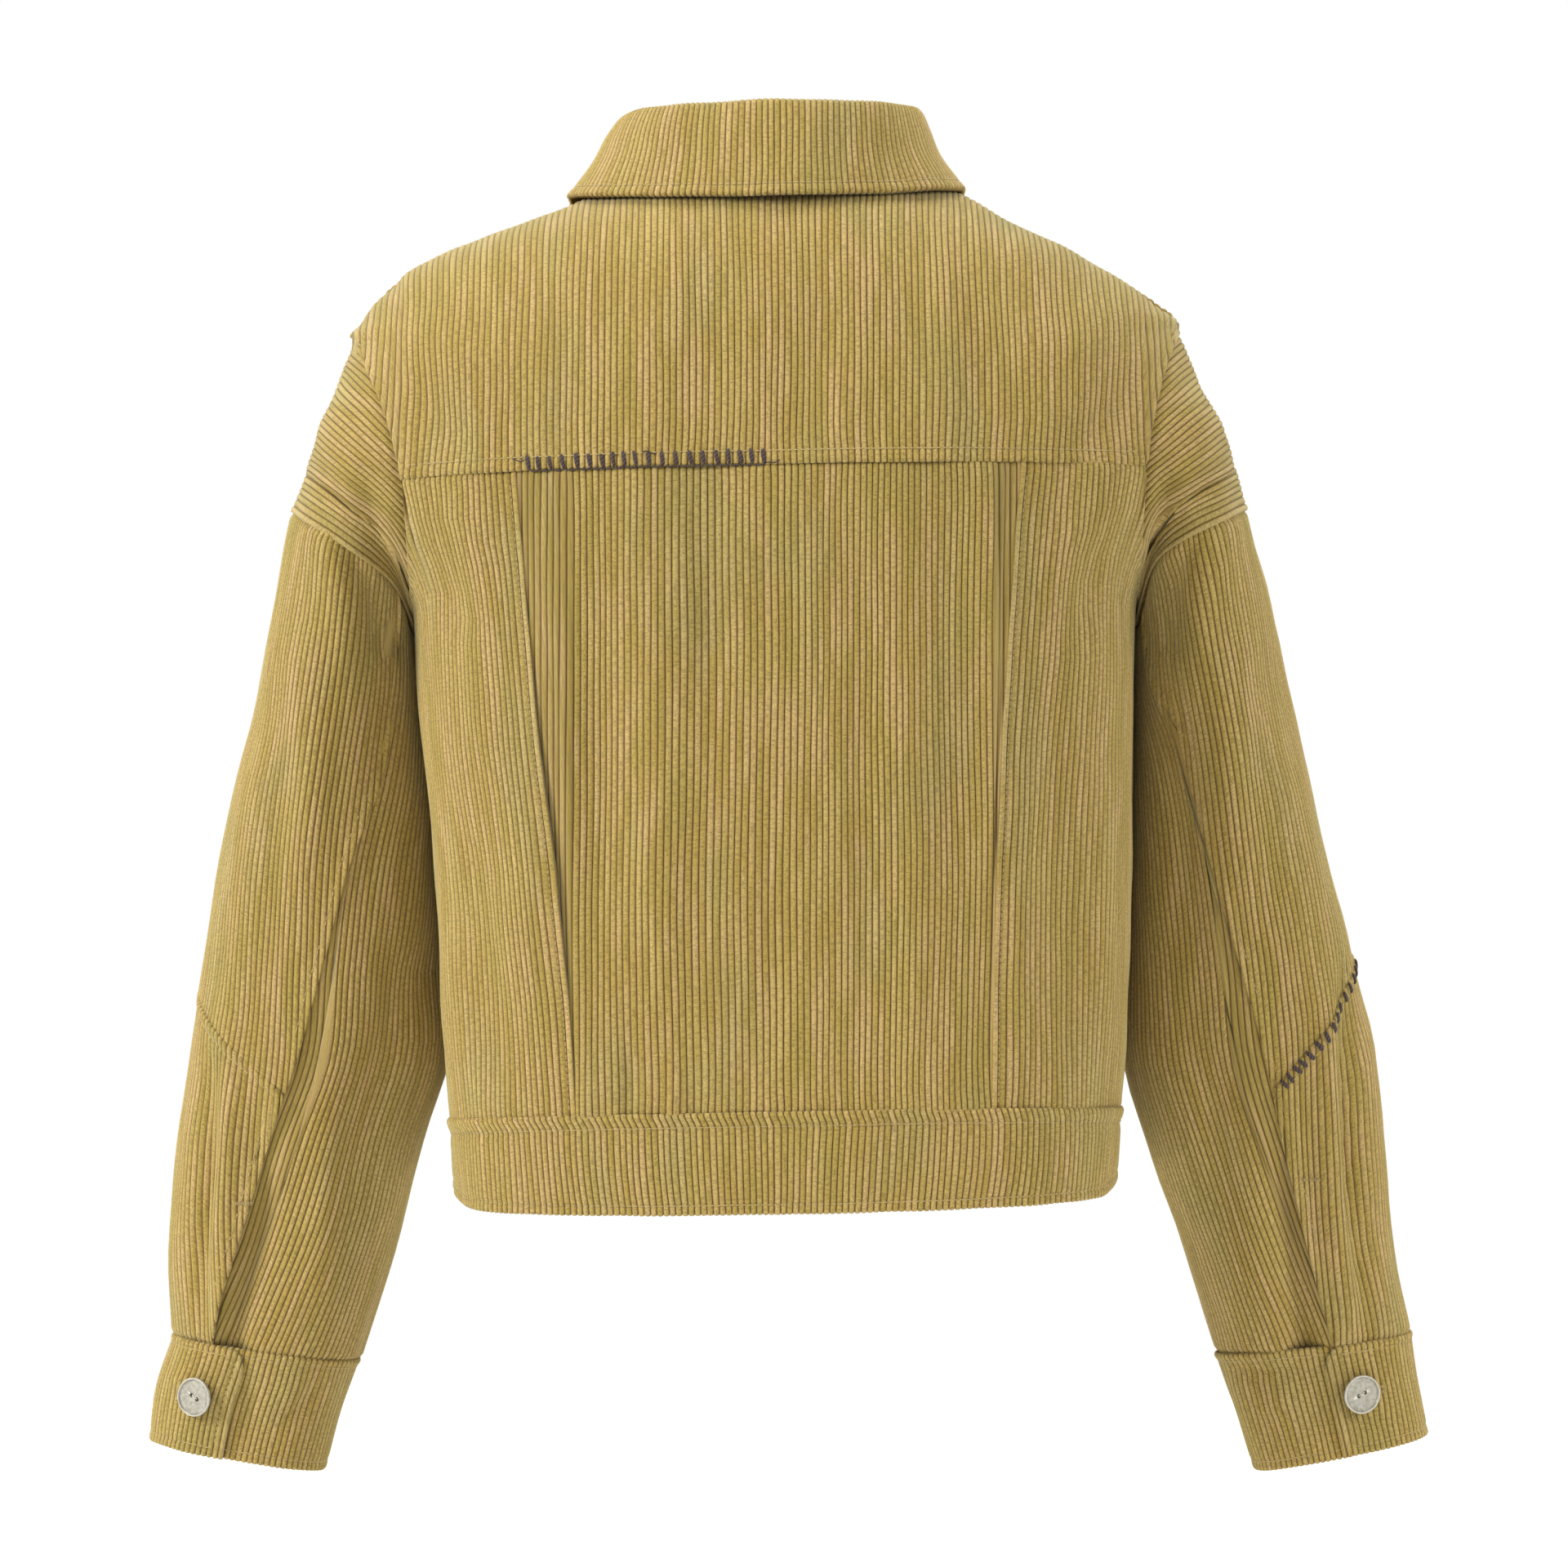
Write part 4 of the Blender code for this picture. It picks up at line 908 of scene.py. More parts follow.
hem_width = np.where(hem_points[:, 0] < 0, half_width(0.0, -1, -1), half_width(0.0, 1, -1))
corner = np.clip(1 - (hem_width - np.abs(hem_points[:, 0])) / 9.0, 0, 1)
foot_ring = BAND_CORNER / 40.5 * (1 - np.sqrt(1 - corner**2 * 0.98))
band_rings = foot_ring[:, None] + (1 - foot_ring)[:, None] * samples
waistband, band_laid = lay_cloth(
    "waistband", [trunk_at_angle(band_rings, band_columns[:, None])], band_numbers, band_places,
    (BAND_FOOT, BAND_TOP), (TURNED, TURNED), 1, cloth_finishes, seed=61,
    skew=lambda low, high, places: -BAND_TWIST * smooth((6.5 - high) / 6.5),
    lift=np.where((band_columns > math.pi / 2), lap_rise(hem_points[:, 0]), 0.0))


# Collar: a low stand sewn into the neck, and a leaf turned down over it, two layers of
# cloth turned out and topstitched round its free edges, with its wales upright behind.
COLLAR_CLOTH = 2.2
COLLAR_COLUMNS = ("side_z", "left", "right", "back", "front", "back_lift", "front_lift")
STAND = (
    (0.6, 76.0, 74.0, 64.0, 64.0, -8.0, -72.0),
    (14.0, 75.0, 72.5, 62.5, 62.5, -3.5, -73.0),
    (26.6, 73.5, 69.5, 60.5, 60.5, 0.0, -74.0),
)
LEAF = (
    (27.2, 73.5, 69.5, 60.5, 60.5, 0.0, -74.0),
    (30.2, 74.8, 70.4, 61.8, 61.8, 0.2, -74.0),
    (31.6, 77.6, 72.4, 64.4, 64.4, 0.4, -74.0),
    (29.4, 81.2, 75.0, 67.2, 67.4, 0.2, -75.0),
    (20.5, 87.4, 78.8, 71.5, 75.0, -1.0, -80.0),
    (7.0, 94.5, 84.8, 77.0, 86.0, -4.0, -88.0),
    (-9.5, 106.8, 97.0, 84.0, 101.0, -8.0, -96.0),
)
COLLAR_END, LEAF_SPREAD, LEAF_POINT = 175.0, 9.0, 0.7
LEAF_POINT_FROM, LEAF_POINT_TO = 110.0, 170.0
LEAF_EDGE = Edge(0.3, 7.0, 0.0, 1.0, 5.4, 0.45)


def collar_at(table, ring, angle):
    ring, angle = np.broadcast_arrays(ring, angle)
    value = {name: between([row[i] for row in table], ring) for i, name in enumerate(COLLAR_COLUMNS)}
    to_right, to_front = np.sin(angle) >= 0, np.cos(angle) < 0
    depth = np.where(to_front, value["front"], value["back"])
    lift = np.where(to_front, value["front_lift"], value["back_lift"])
    x = np.where(to_right, value["right"], value["left"]) * np.sin(angle)
    share = np.abs(np.cos(angle))
    z = value["side_z"] + lift * share**LIFT_POWER + LEAN * x
    return np.stack([x, np.where(to_front, 1, -1) * depth * share, z], axis=-1)


def even_collar(table, ring):
    """Columns evenly spaced round a collar piece at one of its rings."""
    angle = np.radians(np.linspace(-COLLAR_END, COLLAR_END, 1200))
    run = run_of(collar_at(table, ring, angle))
    numbers, places = wale_columns(0.0, run[-1], even_marks(0.0, run[-1]))
    return numbers, places, np.interp(places, run, angle)


numbers, places, angles = even_collar(STAND, 1.0)
collar_stand, _ = lay_cloth(
    "collar_stand", [collar_at(STAND, 2.0 * samples, angles[:, None])], numbers, places, (SEWN, SEWN),
    (TURNED, TURNED), 1, cloth_finishes, seed=71, rows=(PLAIN_ROWS, PLAIN_ROWS))

leaf_numbers, leaf_places, angles = even_collar(LEAF, 4.0)
towards = np.clip((np.degrees(np.abs(angles)) - LEAF_POINT_FROM) / (LEAF_POINT_TO - LEAF_POINT_FROM), 0, 1)
leaf_rings = samples * (len(LEAF) - 1 + LEAF_POINT * samples * towards[:, None] ** 2)
leaf_width = between([row[1] for row in LEAF], leaf_rings)
leaf_angles = angles[:, None] * (1 - LEAF_SPREAD / COLLAR_END * samples)
upright = np.where(np.abs(leaf_angles) < math.pi / 2, np.sin(2 * leaf_angles) / 2, 0)
leaf_angles = leaf_angles + 0.75 * upright * (86.0 / leaf_width - 1)
collar_fall, leaf_laid = lay_cloth(
    "collar_fall", [collar_at(LEAF, leaf_rings, leaf_angles)], leaf_numbers, leaf_places,
    (SEWN, LEAF_EDGE), (LEAF_EDGE, LEAF_EDGE), -1, cloth_finishes, seed=72,
    rows=(PLAIN_ROWS, EDGE_ROWS), thickness=COLLAR_CLOTH, step=5.5)


# Sleeve caps, left and right: pieces set on the dropped shoulders with their wales
# running round the arm, their heads sewn under the rolled edge of the body and their
# lower edges turned in and topstitched down over the sleeves.
SLEEVE = {   # outer x and z, inner x and z, forward, half depth, dip, turn of the back seam
    -1: (
        (234.0, -134.0, 185.2, -207.0, 4.0, 73.0, 24.0, 145.0),
        (248.5, -172.0, 185.7, -213.0, 12.0, 72.5, 24.0, 142.0),
        (263.0, -235.0, 184.4, -256.0, 26.0, 71.0, 8.0, 137.5),
        (277.0, -299.0, 181.6, -302.0, 37.0, 69.0, 0.0, 127.0),
        (288.5, -350.0, 177.0, -350.0, 44.0, 66.0, 0.0, 105.0),
        (298.0, -404.0, 173.6, -404.0, 48.0, 60.0, 0.0, 93.0),
        (306.0, -452.0, 171.3, -452.0, 52.0, 54.0, 0.0, 85.5),
        (313.5, -500.0, 184.8, -498.0, 56.0, 50.0, 0.0, 80.5),
        (317.5, -550.0, 197.8, -548.0, 60.0, 46.0, 0.0, 72.5),
        (315.8, -602.0, 218.6, -616.0, 63.0, 38.5, 0.0, 60.0),
    ),
    1: (
        (230.5, -137.0, 185.4, -194.0, 4.0, 73.0, 30.0, 157.0),
        (241.5, -171.0, 185.6, -199.0, 12.0, 72.5, 32.0, 155.0),
        (257.0, -228.0, 185.6, -247.0, 26.0, 71.0, 10.0, 150.0),
        (274.0, -297.0, 184.6, -300.0, 37.0, 69.0, 0.0, 120.0),
        (286.0, -350.0, 183.2, -350.0, 44.0, 66.0, 0.0, 103.5),
        (301.0, -404.0, 181.4, -404.0, 48.0, 60.0, 0.0, 93.0),
        (312.5, -452.0, 181.0, -455.0, 52.0, 54.0, 0.0, 87.0),
        (318.2, -505.0, 195.2, -500.0, 57.0, 50.0, 0.0, 86.0),
        (323.8, -560.0, 213.8, -557.0, 60.0, 46.0, 0.0, 83.5),
        (333.0, -601.0, 232.2, -612.0, 63.0, 38.5, 0.0, 84.0),
    ),
}
CAP_SEAM, CUFF_SEAM = 2, 10
SLEEVE_ROUNDNESS, DIP_SHARPNESS = 2.2, 14
CAP_CLOSER_BEHIND = 0.16
CAP_EDGE = Edge(0.9, 9.0, 1.4, 1.0, 4.2, 0.5)
CAP_CREASES = {
    -1: (
        (-1, ((-214, -196), (-222, -172), (-236, -146)), 9.0, -1.6),
        (-1, ((-196, -206), (-204, -188), (-206, -150)), 7.0, -2.0),
        (-1, ((-214, -120), (-224, -130), (-240, -134)), 9.0, 1.3),
    ),
    1: (
        (-1, ((204, -196), (214, -170), (226, -146)), 9.0, -1.6),
        (-1, ((190, -196), (196, -176), (198, -146)), 7.0, -2.0),
        (-1, ((206, -120), (214, -128), (228, -134)), 9.0, 1.3),
    ),
}


def sleeve_ring(side, row, turn):
    outer_x, outer_z, inner_x, inner_z, forward, half_depth, dip = row[:7]
    across = (1 + power(np.cos(turn), 2 / SLEEVE_ROUNDNESS)) / 2
    x = side * (inner_x + (outer_x - inner_x) * across)
    z = inner_z + (outer_z - inner_z) * across - dip * (1 - across) ** DIP_SHARPNESS
    return np.stack([x, forward - half_depth * power(np.sin(turn), 2 / SLEEVE_ROUNDNESS), z], axis=-1)


def through_rings(rings, at):
    """Points on a smooth curve through rings of points, at fractional rings."""
    rings = np.concatenate([2 * rings[:1] - rings[1:2], rings, 2 * rings[-1:] - rings[-2:-1]])
    low = np.clip(np.floor(at).astype(int), 0, len(rings) - 4)
    near = (np.take_along_axis(rings, (low + k)[None, ..., None], axis=0)[0] for k in range(4))
    return curve(*near, (at - low)[..., None])


def sleeve_at(side, ring, turn):
    """Points of a sleeve; ring 0 is the armhole seam, 10 the cuff seam. The turn is 0
    along the outer line, a quarter at the back and a half under the arm."""
    ring, turn = np.broadcast_arrays(np.asarray(ring, float), turn)
    x, y, z = armhole_seam(side, turn)
    rings = [np.stack([x, y, z + LEAN * x], axis=-1)]
    return through_rings(np.array(rings + [sleeve_ring(side, row, turn) for row in SLEEVE[side]]), ring)


cap_laid = {}
CAP_PAST, CAP_PAST_TURN = 0.132, 46           # run on past the armhole, at the shoulder tip
CAP_TIP, CAP_MEETING = 0.75, 3.13             # turns between which the head is sewn under
cap_turns = np.linspace(-math.pi, math.pi, 241)
cap_ends = CAP_PAST * (smooth(np.abs(cap_turns) / math.radians(CAP_PAST_TURN)) - 1)
cap_rings = CAP_SEAM + (cap_ends[:, None] - CAP_SEAM) * np.linspace(0, 1, 90)
for side, word in ((-1, "left"), (1, "right")):
    ladder = sleeve_at(side, cap_rings, cap_turns[:, None])
    closer = 1 + CAP_CLOSER_BEHIND * smooth(np.abs(cap_turns) / math.radians(120))
    heights = run_of(ladder) * closer[:, None]
    numbers, places = wale_columns(0.0, heights[:, -1].max() - 1.2, even_marks(0.0, 110.0))
    inside = heights[:, -1:] - places + 0.02
    low_turn, high_turn = spans(cap_turns, inside)
    ring_table = np.array([np.interp(places, height, line) for height, line in zip(heights, cap_rings)])
    turns = fill_in(low_turn, high_turn)
    rings = read_off(turns, cap_turns, ring_table)
    piece, cap_laid[side] = lay_cloth(
        "sleeve_cap_" + word, [sleeve_at(side, rings, turns)], numbers, places,
        ([OPEN if turn < -CAP_MEETING or turn > -CAP_TIP else UNDER for turn in low_turn],
         [OPEN if turn > CAP_MEETING or turn < CAP_TIP else UNDER for turn in high_turn]),
        (CAP_EDGE, OPEN), side, cloth_finishes, CAP_CREASES[side], seed=81 + side, step=8.0)


# Sleeves, left and right, each of three pieces: an outer piece above a slanting elbow
# seam, an outer piece below it, and an under sleeve. Their wales run down the arm, and
# the outer pieces lap over the under sleeve along the seam at the back.
FRONT_SLEEVE_SEAM = -135.0
Elbow = namedtuple("Elbow", "outer_ring seam_ring")
ELBOW = {-1: Elbow(6.37, 7.45), 1: Elbow(5.98, 7.37)}
ELBOW_BEND = 1.4
BACK_LAP = Edge(1.7, 7.0, 1.4, 1.3, 4.0, 0.3)
ELBOW_OVER = Edge(1.0, 8.0, 0.8, 0.9, 4.2, 0.55)
DEEP_UNDER = Edge(-2.3, 8.5, 0.0, 0.0, 0.0, 0.0)
UNDER_TURNING, ELBOW_TURNING = 0.075, 0.07    # run on under the outer pieces, in turn and in rings
AT_SEAM = 0.03                                # rings within which a column ends at a seam
VENT = {
    -1: (-1, ((-264, -520), (-272, -550), (-280, -585), (-284, -640)), 8.0, -5.0),
    1: (-1, ((262, -510), (268, -545), (274, -585), (278, -640)), 8.0, -5.0),
}
SLEEVE_CREASES = {
    -1: (
        (-1, ((-222, -186), (-206, -212), (-200, -250)), 7.0, -2.8),
        (-1, ((-234, -180), (-222, -214), (-218, -262)), 8.0, 2.0),
        (-1, ((-262, -250), (-256, -320), (-262, -400), (-270, -440)), 13.0, -2.4),
        (-1, ((-238, -230), (-236, -300), (-244, -380)), 12.0, 2.2),
        (-1, ((-292, -452), (-294, -500), (-299, -560), (-298, -606)), 6.0, -4.2),
        (-1, ((-283, -430), (-284, -500), (-288, -560), (-286, -600)), 7.0, 2.2),
        (-1, ((-268, -478), (-262, -530), (-266, -600)), 8.0, -1.8),
        (-1, ((-184, -240), (-182, -320), (-188, -410)), 12.0, 2.4),
        (-1, ((-176, -395), (-198, -445), (-220, -530)), 14.0, -3.2),
        (-1, ((-232, -470), (-236, -530), (-236, -590)), 9.0, 1.8),
        (1, ((-270, -240), (-250, -330), (-262, -430)), 13.0, -2.2),
        (1, ((-230, -420), (-262, -446), (-292, -450)), 8.0, -2.4),
        (1, ((-226, -446), (-258, -468), (-296, -476)), 8.0, -2.2),
        (1, ((-272, -500), (-274, -550), (-278, -600)), 8.0, -2.0),
        (1, ((-210, -230), (-206, -300), (-206, -380)), 10.0, -2.0),
    ),
    1: (
        (-1, ((216, -184), (202, -212), (200, -250)), 7.0, -2.6),
        (-1, ((232, -178), (218, -214), (214, -262)), 8.0, 1.9),
        (-1, ((254, -240), (252, -320), (262, -400)), 13.0, -2.2),
        (-1, ((230, -236), (232, -310), (242, -380)), 12.0, 2.0),
        (-1, ((294, -408), (297, -470), (302, -540), (308, -604)), 6.5, -5.0),
        (-1, ((284, -420), (288, -480), (294, -550), (298, -600)), 7.0, 2.4),
        (-1, ((270, -470), (278, -530), (284, -600)), 8.0, -1.6),
        (-1, ((200, -270), (206, -340), (216, -410)), 10.0, -3.0),
        (-1, ((206, -420), (226, -470), (240, -540)), 12.0, -2.6),
        (-1, ((240, -470), (248, -530), (252, -590)), 9.0, 1.8),
        (1, ((262, -240), (250, -330), (266, -430)), 13.0, -2.2),
        (1, ((232, -420), (264, -446), (298, -450)), 8.0, -2.4),
        (1, ((234, -448), (268, -470), (304, -474)), 8.0, -2.2),
        (1, ((286, -500), (292, -550), (298, -600)), 8.0, -2.0),
        (1, ((206, -230), (206, -300), (210, -380)), 10.0, -2.0),
    ),
}


def tucked(hidden, edges):
    """Edges of columns, sewn under where the next piece hides them."""
    return [UNDER if under else edge for under, edge in zip(hidden, edges)]


sleeve_rings = np.linspace(CAP_SEAM, CUFF_SEAM, 321)
upper_laid, lower_laid, lapped_seams = {}, {}, []
for side, word in ((-1, "left"), (1, "right")):
    seams = [row[7] for row in SLEEVE[side]]
    seam_turns = np.radians(between(seams, sleeve_rings - 1))
    front_turn = math.radians(FRONT_SLEEVE_SEAM)
    elbow = ELBOW[side]
    meeting = math.radians(float(between(seams, elbow.seam_ring - 1)))

    def sleeve_form(ring, turn, side=side):
        return sleeve_at(side, ring, turn)

    numbers, places = wale_columns(-190.0, 190.0, even_marks(-190.0, 190.0, offset=0.4))
    turn_table, inside = spread(sleeve_form, sleeve_rings, front_turn, seam_turns, 0.0, places)
    border = elbow.outer_ring + (elbow.seam_ring - elbow.outer_ring) * np.clip(
        turn_table / meeting, 0, None) ** ELBOW_BEND
    for label, beyond, laid, size in (
        ("outer_upper", border + ELBOW_TURNING - sleeve_rings[:, None], upper_laid, (0.290, 0.245, 0.0620)),
        ("outer_lower", sleeve_rings[:, None] - border, lower_laid, (0.210, 0.215, 0.0400)),
    ):
        within = np.minimum(inside, beyond * 30)
        used = np.flatnonzero((within > 0).sum(axis=0) > 2)
        low_ring, high_ring = spans(sleeve_rings, within[:, used])
        rings = fill_in(low_ring, high_ring)
        turned = read_off(rings, sleeve_rings, turn_table[:, used])
        seam_edge = [BACK_LAP if places[j] > 0 else SEWN for j in used]
        at_elbow = [abs(np.interp(ring, sleeve_rings, beyond[:, j])) < 0.05
                    for ring, j in zip(high_ring if label == "outer_upper" else low_ring, used)]
        if label == "outer_upper":
            low_edges = tucked(low_ring < CAP_SEAM + AT_SEAM, seam_edge)
            high_edges = tucked(at_elbow, seam_edge)
        else:
            low_edges = [ELBOW_OVER if here else edge for here, edge in zip(at_elbow, seam_edge)]
            high_edges = tucked(high_ring > CUFF_SEAM - AT_SEAM, seam_edge)
        lapped = np.array([edge is BACK_LAP for edge in high_edges])
        piece, laid[side] = lay_cloth(
            f"sleeve_{label}_{word}", [sleeve_form(rings, turned)], numbers[used], places[used],
            (low_edges, high_edges), (OPEN, OPEN), side, cloth_finishes, SLEEVE_CREASES[side],
            seed=91 + side + len(label))
        lapped_seams.append((laid[side], 1, BACK_LAP.stitch, lapped))
        if label == "outer_lower":
            lapped_seams.append((laid[side], 0, ELBOW_OVER.stitch, np.array(at_elbow)))
            if side > 0:
                elbow_columns = np.array(at_elbow)

    numbers, places = wale_columns(-110.0, 110.0, even_marks(-110.0, 110.0, offset=0.8))
    middle = (seam_turns + front_turn + math.tau) / 2
    turn_table, inside = spread(
        sleeve_form, sleeve_rings, seam_turns - UNDER_TURNING, front_turn + math.tau, middle, places)
    used = np.flatnonzero((inside > 0).sum(axis=0) > 4)
    low_ring, high_ring = spans(sleeve_rings, inside[:, used])
    rings = fill_in(low_ring, high_ring)
    turned = read_off(rings, sleeve_rings, turn_table[:, used])
    seam_edge = [DEEP_UNDER if places[j] < 0 else SEWN for j in used]
    piece, _ = lay_cloth(
        "sleeve_under_" + word, [sleeve_form(rings, turned)], numbers[used], places[used],
        (tucked(low_ring < CAP_SEAM + AT_SEAM, seam_edge),
         tucked(high_ring > CUFF_SEAM - AT_SEAM, seam_edge)),
        (OPEN, OPEN), side, cloth_finishes, SLEEVE_CREASES[side] + (VENT[side],), seed=95 + side)


# Cuffs, left and right: straight bands over the gathered ends of the sleeves, topstitched
# all round, each closed at the back by a tab with a rounded corner.
CUFF = {   # outer x and z, inner x and z, forward, half depth, dip
    -1: (
        (324.3, -629.0, 228.8, -645.0, 65.0, 36.5, 0.0),
        (328.8, -656.5, 236.3, -672.5, 66.0, 36.0, 0.0),
    ),
    1: (
        (337.3, -627.5, 241.6, -642.0, 65.0, 36.5, 0.0),
        (341.5, -653.5, 251.0, -672.5, 66.0, 36.0, 0.0),
    ),
}
CUFF_TAB, CUFF_UNDERLAP = {-1: 84.5, 1: 90.0}, 48.0
CUFF_RISE_FROM, CUFF_RISE_OVER = 6.0, 70.0
CUFF_HEIGHT, TAB_CORNER_WIDTH, TAB_CORNER_DROP = 57.0, 11.0, 15.0
CUFF_TOP = Edge(0.8, 6.0, 0.8, 1.0, 3.6, 0.35)
CUFF_FOOT = Edge(0.2, 6.0, 0.0, 1.0, 4.6, 0.35)
TAB_EDGE = Edge(0.7, 8.0, 0.0, 1.0, 5.4, 0.4)
CUFF_CREASES = {
    -1: (
        (-1, ((-262, -650), (-250, -640), (-236, -622)), 5.0, -1.2),
        (-1, ((-282, -618), (-274, -632), (-276, -655)), 5.0, -1.2),
        (-1, ((-318, -622), (-300, -626), (-286, -640)), 5.0, 1.0),
    ),
    1: (
        (-1, ((236, -618), (260, -620), (284, -618)), 4.5, -1.8),
        (-1, ((290, -624), (304, -640), (324, -648)), 5.0, -1.2),
        (-1, ((250, -640), (268, -634), (282, -640)), 5.0, 1.0),
    ),
}


def cuff_at(side, height, turn):
    """Points of a cuff; the height is 0 at its seam and 1 at its lower edge."""
    height, turn = np.broadcast_arrays(np.asarray(height, float), turn)
    rows = (SLEEVE[side][-1],) + CUFF[side]
    return through_rings(np.array([sleeve_ring(side, row, turn) for row in rows]), 2 * height)


cuff_laid = {}
for side, word in ((-1, "left"), (1, "right")):
    tab = math.radians(CUFF_TAB[side])
    turns = np.linspace(tab - math.tau - math.radians(CUFF_UNDERLAP), tab, 1200)
    run = run_of(cuff_at(side, 0.5, turns))
    numbers, places = wale_columns(0.0, run[-1], even_marks(0.0, run[-1]))
    turn = np.interp(places, run, turns)
    share = (np.degrees(turn - tab) + 360 - CUFF_RISE_FROM) / CUFF_RISE_OVER
    corner = np.clip(1 - (places[-1] - places) / TAB_CORNER_WIDTH, 0, 1)
    top = TAB_CORNER_DROP / CUFF_HEIGHT * (1 - np.sqrt(1 - corner**2 * 0.98))
    heights = top[:, None] + (1 - top[:, None]) * samples
    piece, cuff_laid[side] = lay_cloth(
        "cuff_" + word, [cuff_at(side, heights, turn[:, None])], numbers, places, (CUFF_TOP, CUFF_FOOT),
        (OPEN, TAB_EDGE), side, cloth_finishes, CUFF_CREASES[side], seed=101 + side, step=6.0,
        lift=-LAP_RISE * (1 - smooth(share)))


# Buttons: turned pewter, a thin bright rim round a slightly dished face with two holes,
# standing on a short foot. One closes each cuff, five close the front and one the
# waistband; each is sewn on through its holes.
BUTTON_PROFILE = (   # radius, height
    (0.0, 0.0), (3.2, 0.0), (3.4, 0.2), (3.4, 1.3), (8.6, 1.45), (9.6, 1.9), (10.1, 2.5), (10.2, 3.1),
    (10.1, 3.7), (9.8, 4.1), (9.35, 4.1), (9.05, 3.7), (8.8, 3.2), (7.4, 3.1), (4.0, 2.95), (0.0, 2.9),
)
BUTTON_CLEARANCE, BUTTON_STEPS = 0.3, 56
HOLE_RADIUS, HOLE_APART, HOLE_FLOOR = 1.05, 2.0, 1.2
BUTTON_TILT, CUFF_BUTTON_RISE, HOLES_TURNING = 0.17, 0.9, 0.12
BUTTONHOLE, CUFF_BUTTONHOLE = (-8.0, 14.0), (7.0, -19.0)    # in millimetres and in degrees
BUTTONHOLE_POINTS, BUTTONHOLE_RISE = 40, 0.7
TIE_REACH = np.array([-1.0, -0.85, 0.0, 0.85, 1.0])    # of the thread, from hole to hole
TIE_HEIGHT = np.array([1.8, 2.9, 3.35, 2.9, 1.8])
FRONT_BUTTON_RINGS = (8.2, 6.2, 4.4, 3.1, 1.8)
WAISTBAND_BUTTON_RING = 0.5
CuffButton = namedtuple("CuffButton", "turn height holes_way")
CUFF_BUTTON = {
    -1: CuffButton(62.0, 0.47, (1.0, 0.0, -0.55)),
    1: CuffButton(75.0, 0.44, (1.0, 0.0, 0.45)),
}


def pewter_finish():
    """Cast pewter with a worn bright rim, a faintly mottled face and dark tarnish in its
    hollows."""
    pewter = Finish("pewter", Metallic=0.55)
    place = pewter.node("ShaderNodeTexCoord", output=3)
    mottle = pewter.noise(place, 520.0, 4.0, 0.6, "3D")
    specks = pewter.noise(place, 1700.0, 3.0, 0.6, "3D")
    worn = pewter.node("ShaderNodeNewGeometry", output=7)
    tone = pewter.mix(pewter.stretch(mottle, 0.30, 0.70), (0.36, 0.335, 0.265, 1), (0.54, 0.515, 0.43, 1))
    tone = pewter.mix(pewter.stretch(specks, 0.60, 0.76) * 0.4, tone, (0.27, 0.23, 0.15, 1))
    tone = pewter.mix(pewter.stretch(worn, 0.47, 0.42), tone, (0.13, 0.10, 0.06, 1))
    pewter.set("Base Color", pewter.mix(pewter.stretch(worn, 0.53, 0.60), tone, (0.80, 0.785, 0.70, 1)))
    pewter.set("Roughness", pewter.stretch(mottle, 0.3, 0.7, 0.34, 0.50))
    pewter.bump(0.25, 0.0002, mottle + specks * 0.3)
    return pewter.material


def turn_button(name, point, normal, holes_way, finish):
    """Lathes a button, bores its holes and sets it on the cloth, and gives the places
    between which its thread runs."""
    mesh = bmesh.new()
    profile = [mesh.verts.new((radius, 0.0, height)) for radius, height in BUTTON_PROFILE]
    line = [mesh.edges.new(pair) for pair in zip(profile, profile[1:])]
    bmesh.ops.spin(mesh, geom=profile + line, cent=(0, 0, 0), axis=(0, 0, 1), angle=math.tau,
                   steps=BUTTON_STEPS, use_merge=True, use_duplicate=False)
    bmesh.ops.remove_doubles(mesh, verts=mesh.verts, dist=0.01)
    bmesh.ops.recalc_face_normals(mesh, faces=mesh.faces)
    cutter = bmesh.new()
    for across in (-HOLE_APART, HOLE_APART):
        bmesh.ops.create_cone(
            cutter, cap_ends=True, segments=20, radius1=HOLE_RADIUS, radius2=HOLE_RADIUS * 1.15, depth=4.0,
            matrix=Matrix.Translation((across, 0, HOLE_FLOOR + 2.0)))
    parts = []
    for label, made in (("", mesh), ("_bore", cutter)):
        data = bpy.data.meshes.new(name + label)
        made.to_mesh(data)
        made.free()
        parts.append(bpy.data.objects.new(name + label, data))
        scene.collection.objects.link(parts[-1])
    button, bore = parts
    boring = button.modifiers.new("bored", "BOOLEAN")
    boring.operation, boring.object, boring.solver = "DIFFERENCE", bore, "EXACT"
    bored = bpy.data.meshes.new_from_object(button.evaluated_get(bpy.context.evaluated_depsgraph_get()))
    button.modifiers.clear()
    bpy.data.objects.remove(bore)
    normal = Vector(normal)
    way = Vector(holes_way)
    way = (way - way.dot(normal) * normal).normalized()
    facing = Matrix((way, normal.cross(way), normal)).transposed().to_4x4()
    foot = Vector(point) + BUTTON_CLEARANCE * normal
    bored.transform(Matrix.Scale(MM, 4) @ Matrix.Translation(foot) @ facing)
    bored.name = name
    button.data = bored
    bored.materials.append(finish)
    bored.shade_smooth()
    bored.set_sharp_from_angle(angle=0.75)
    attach(button, "root")
    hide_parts(name)
    way, normal = np.array(way), np.array(normal)
    thread = np.array(foot) + TIE_REACH[:, None] * HOLE_APART * way + TIE_HEIGHT[:, None] * normal
    return thread, np.tile(normal, (len(thread), 1))


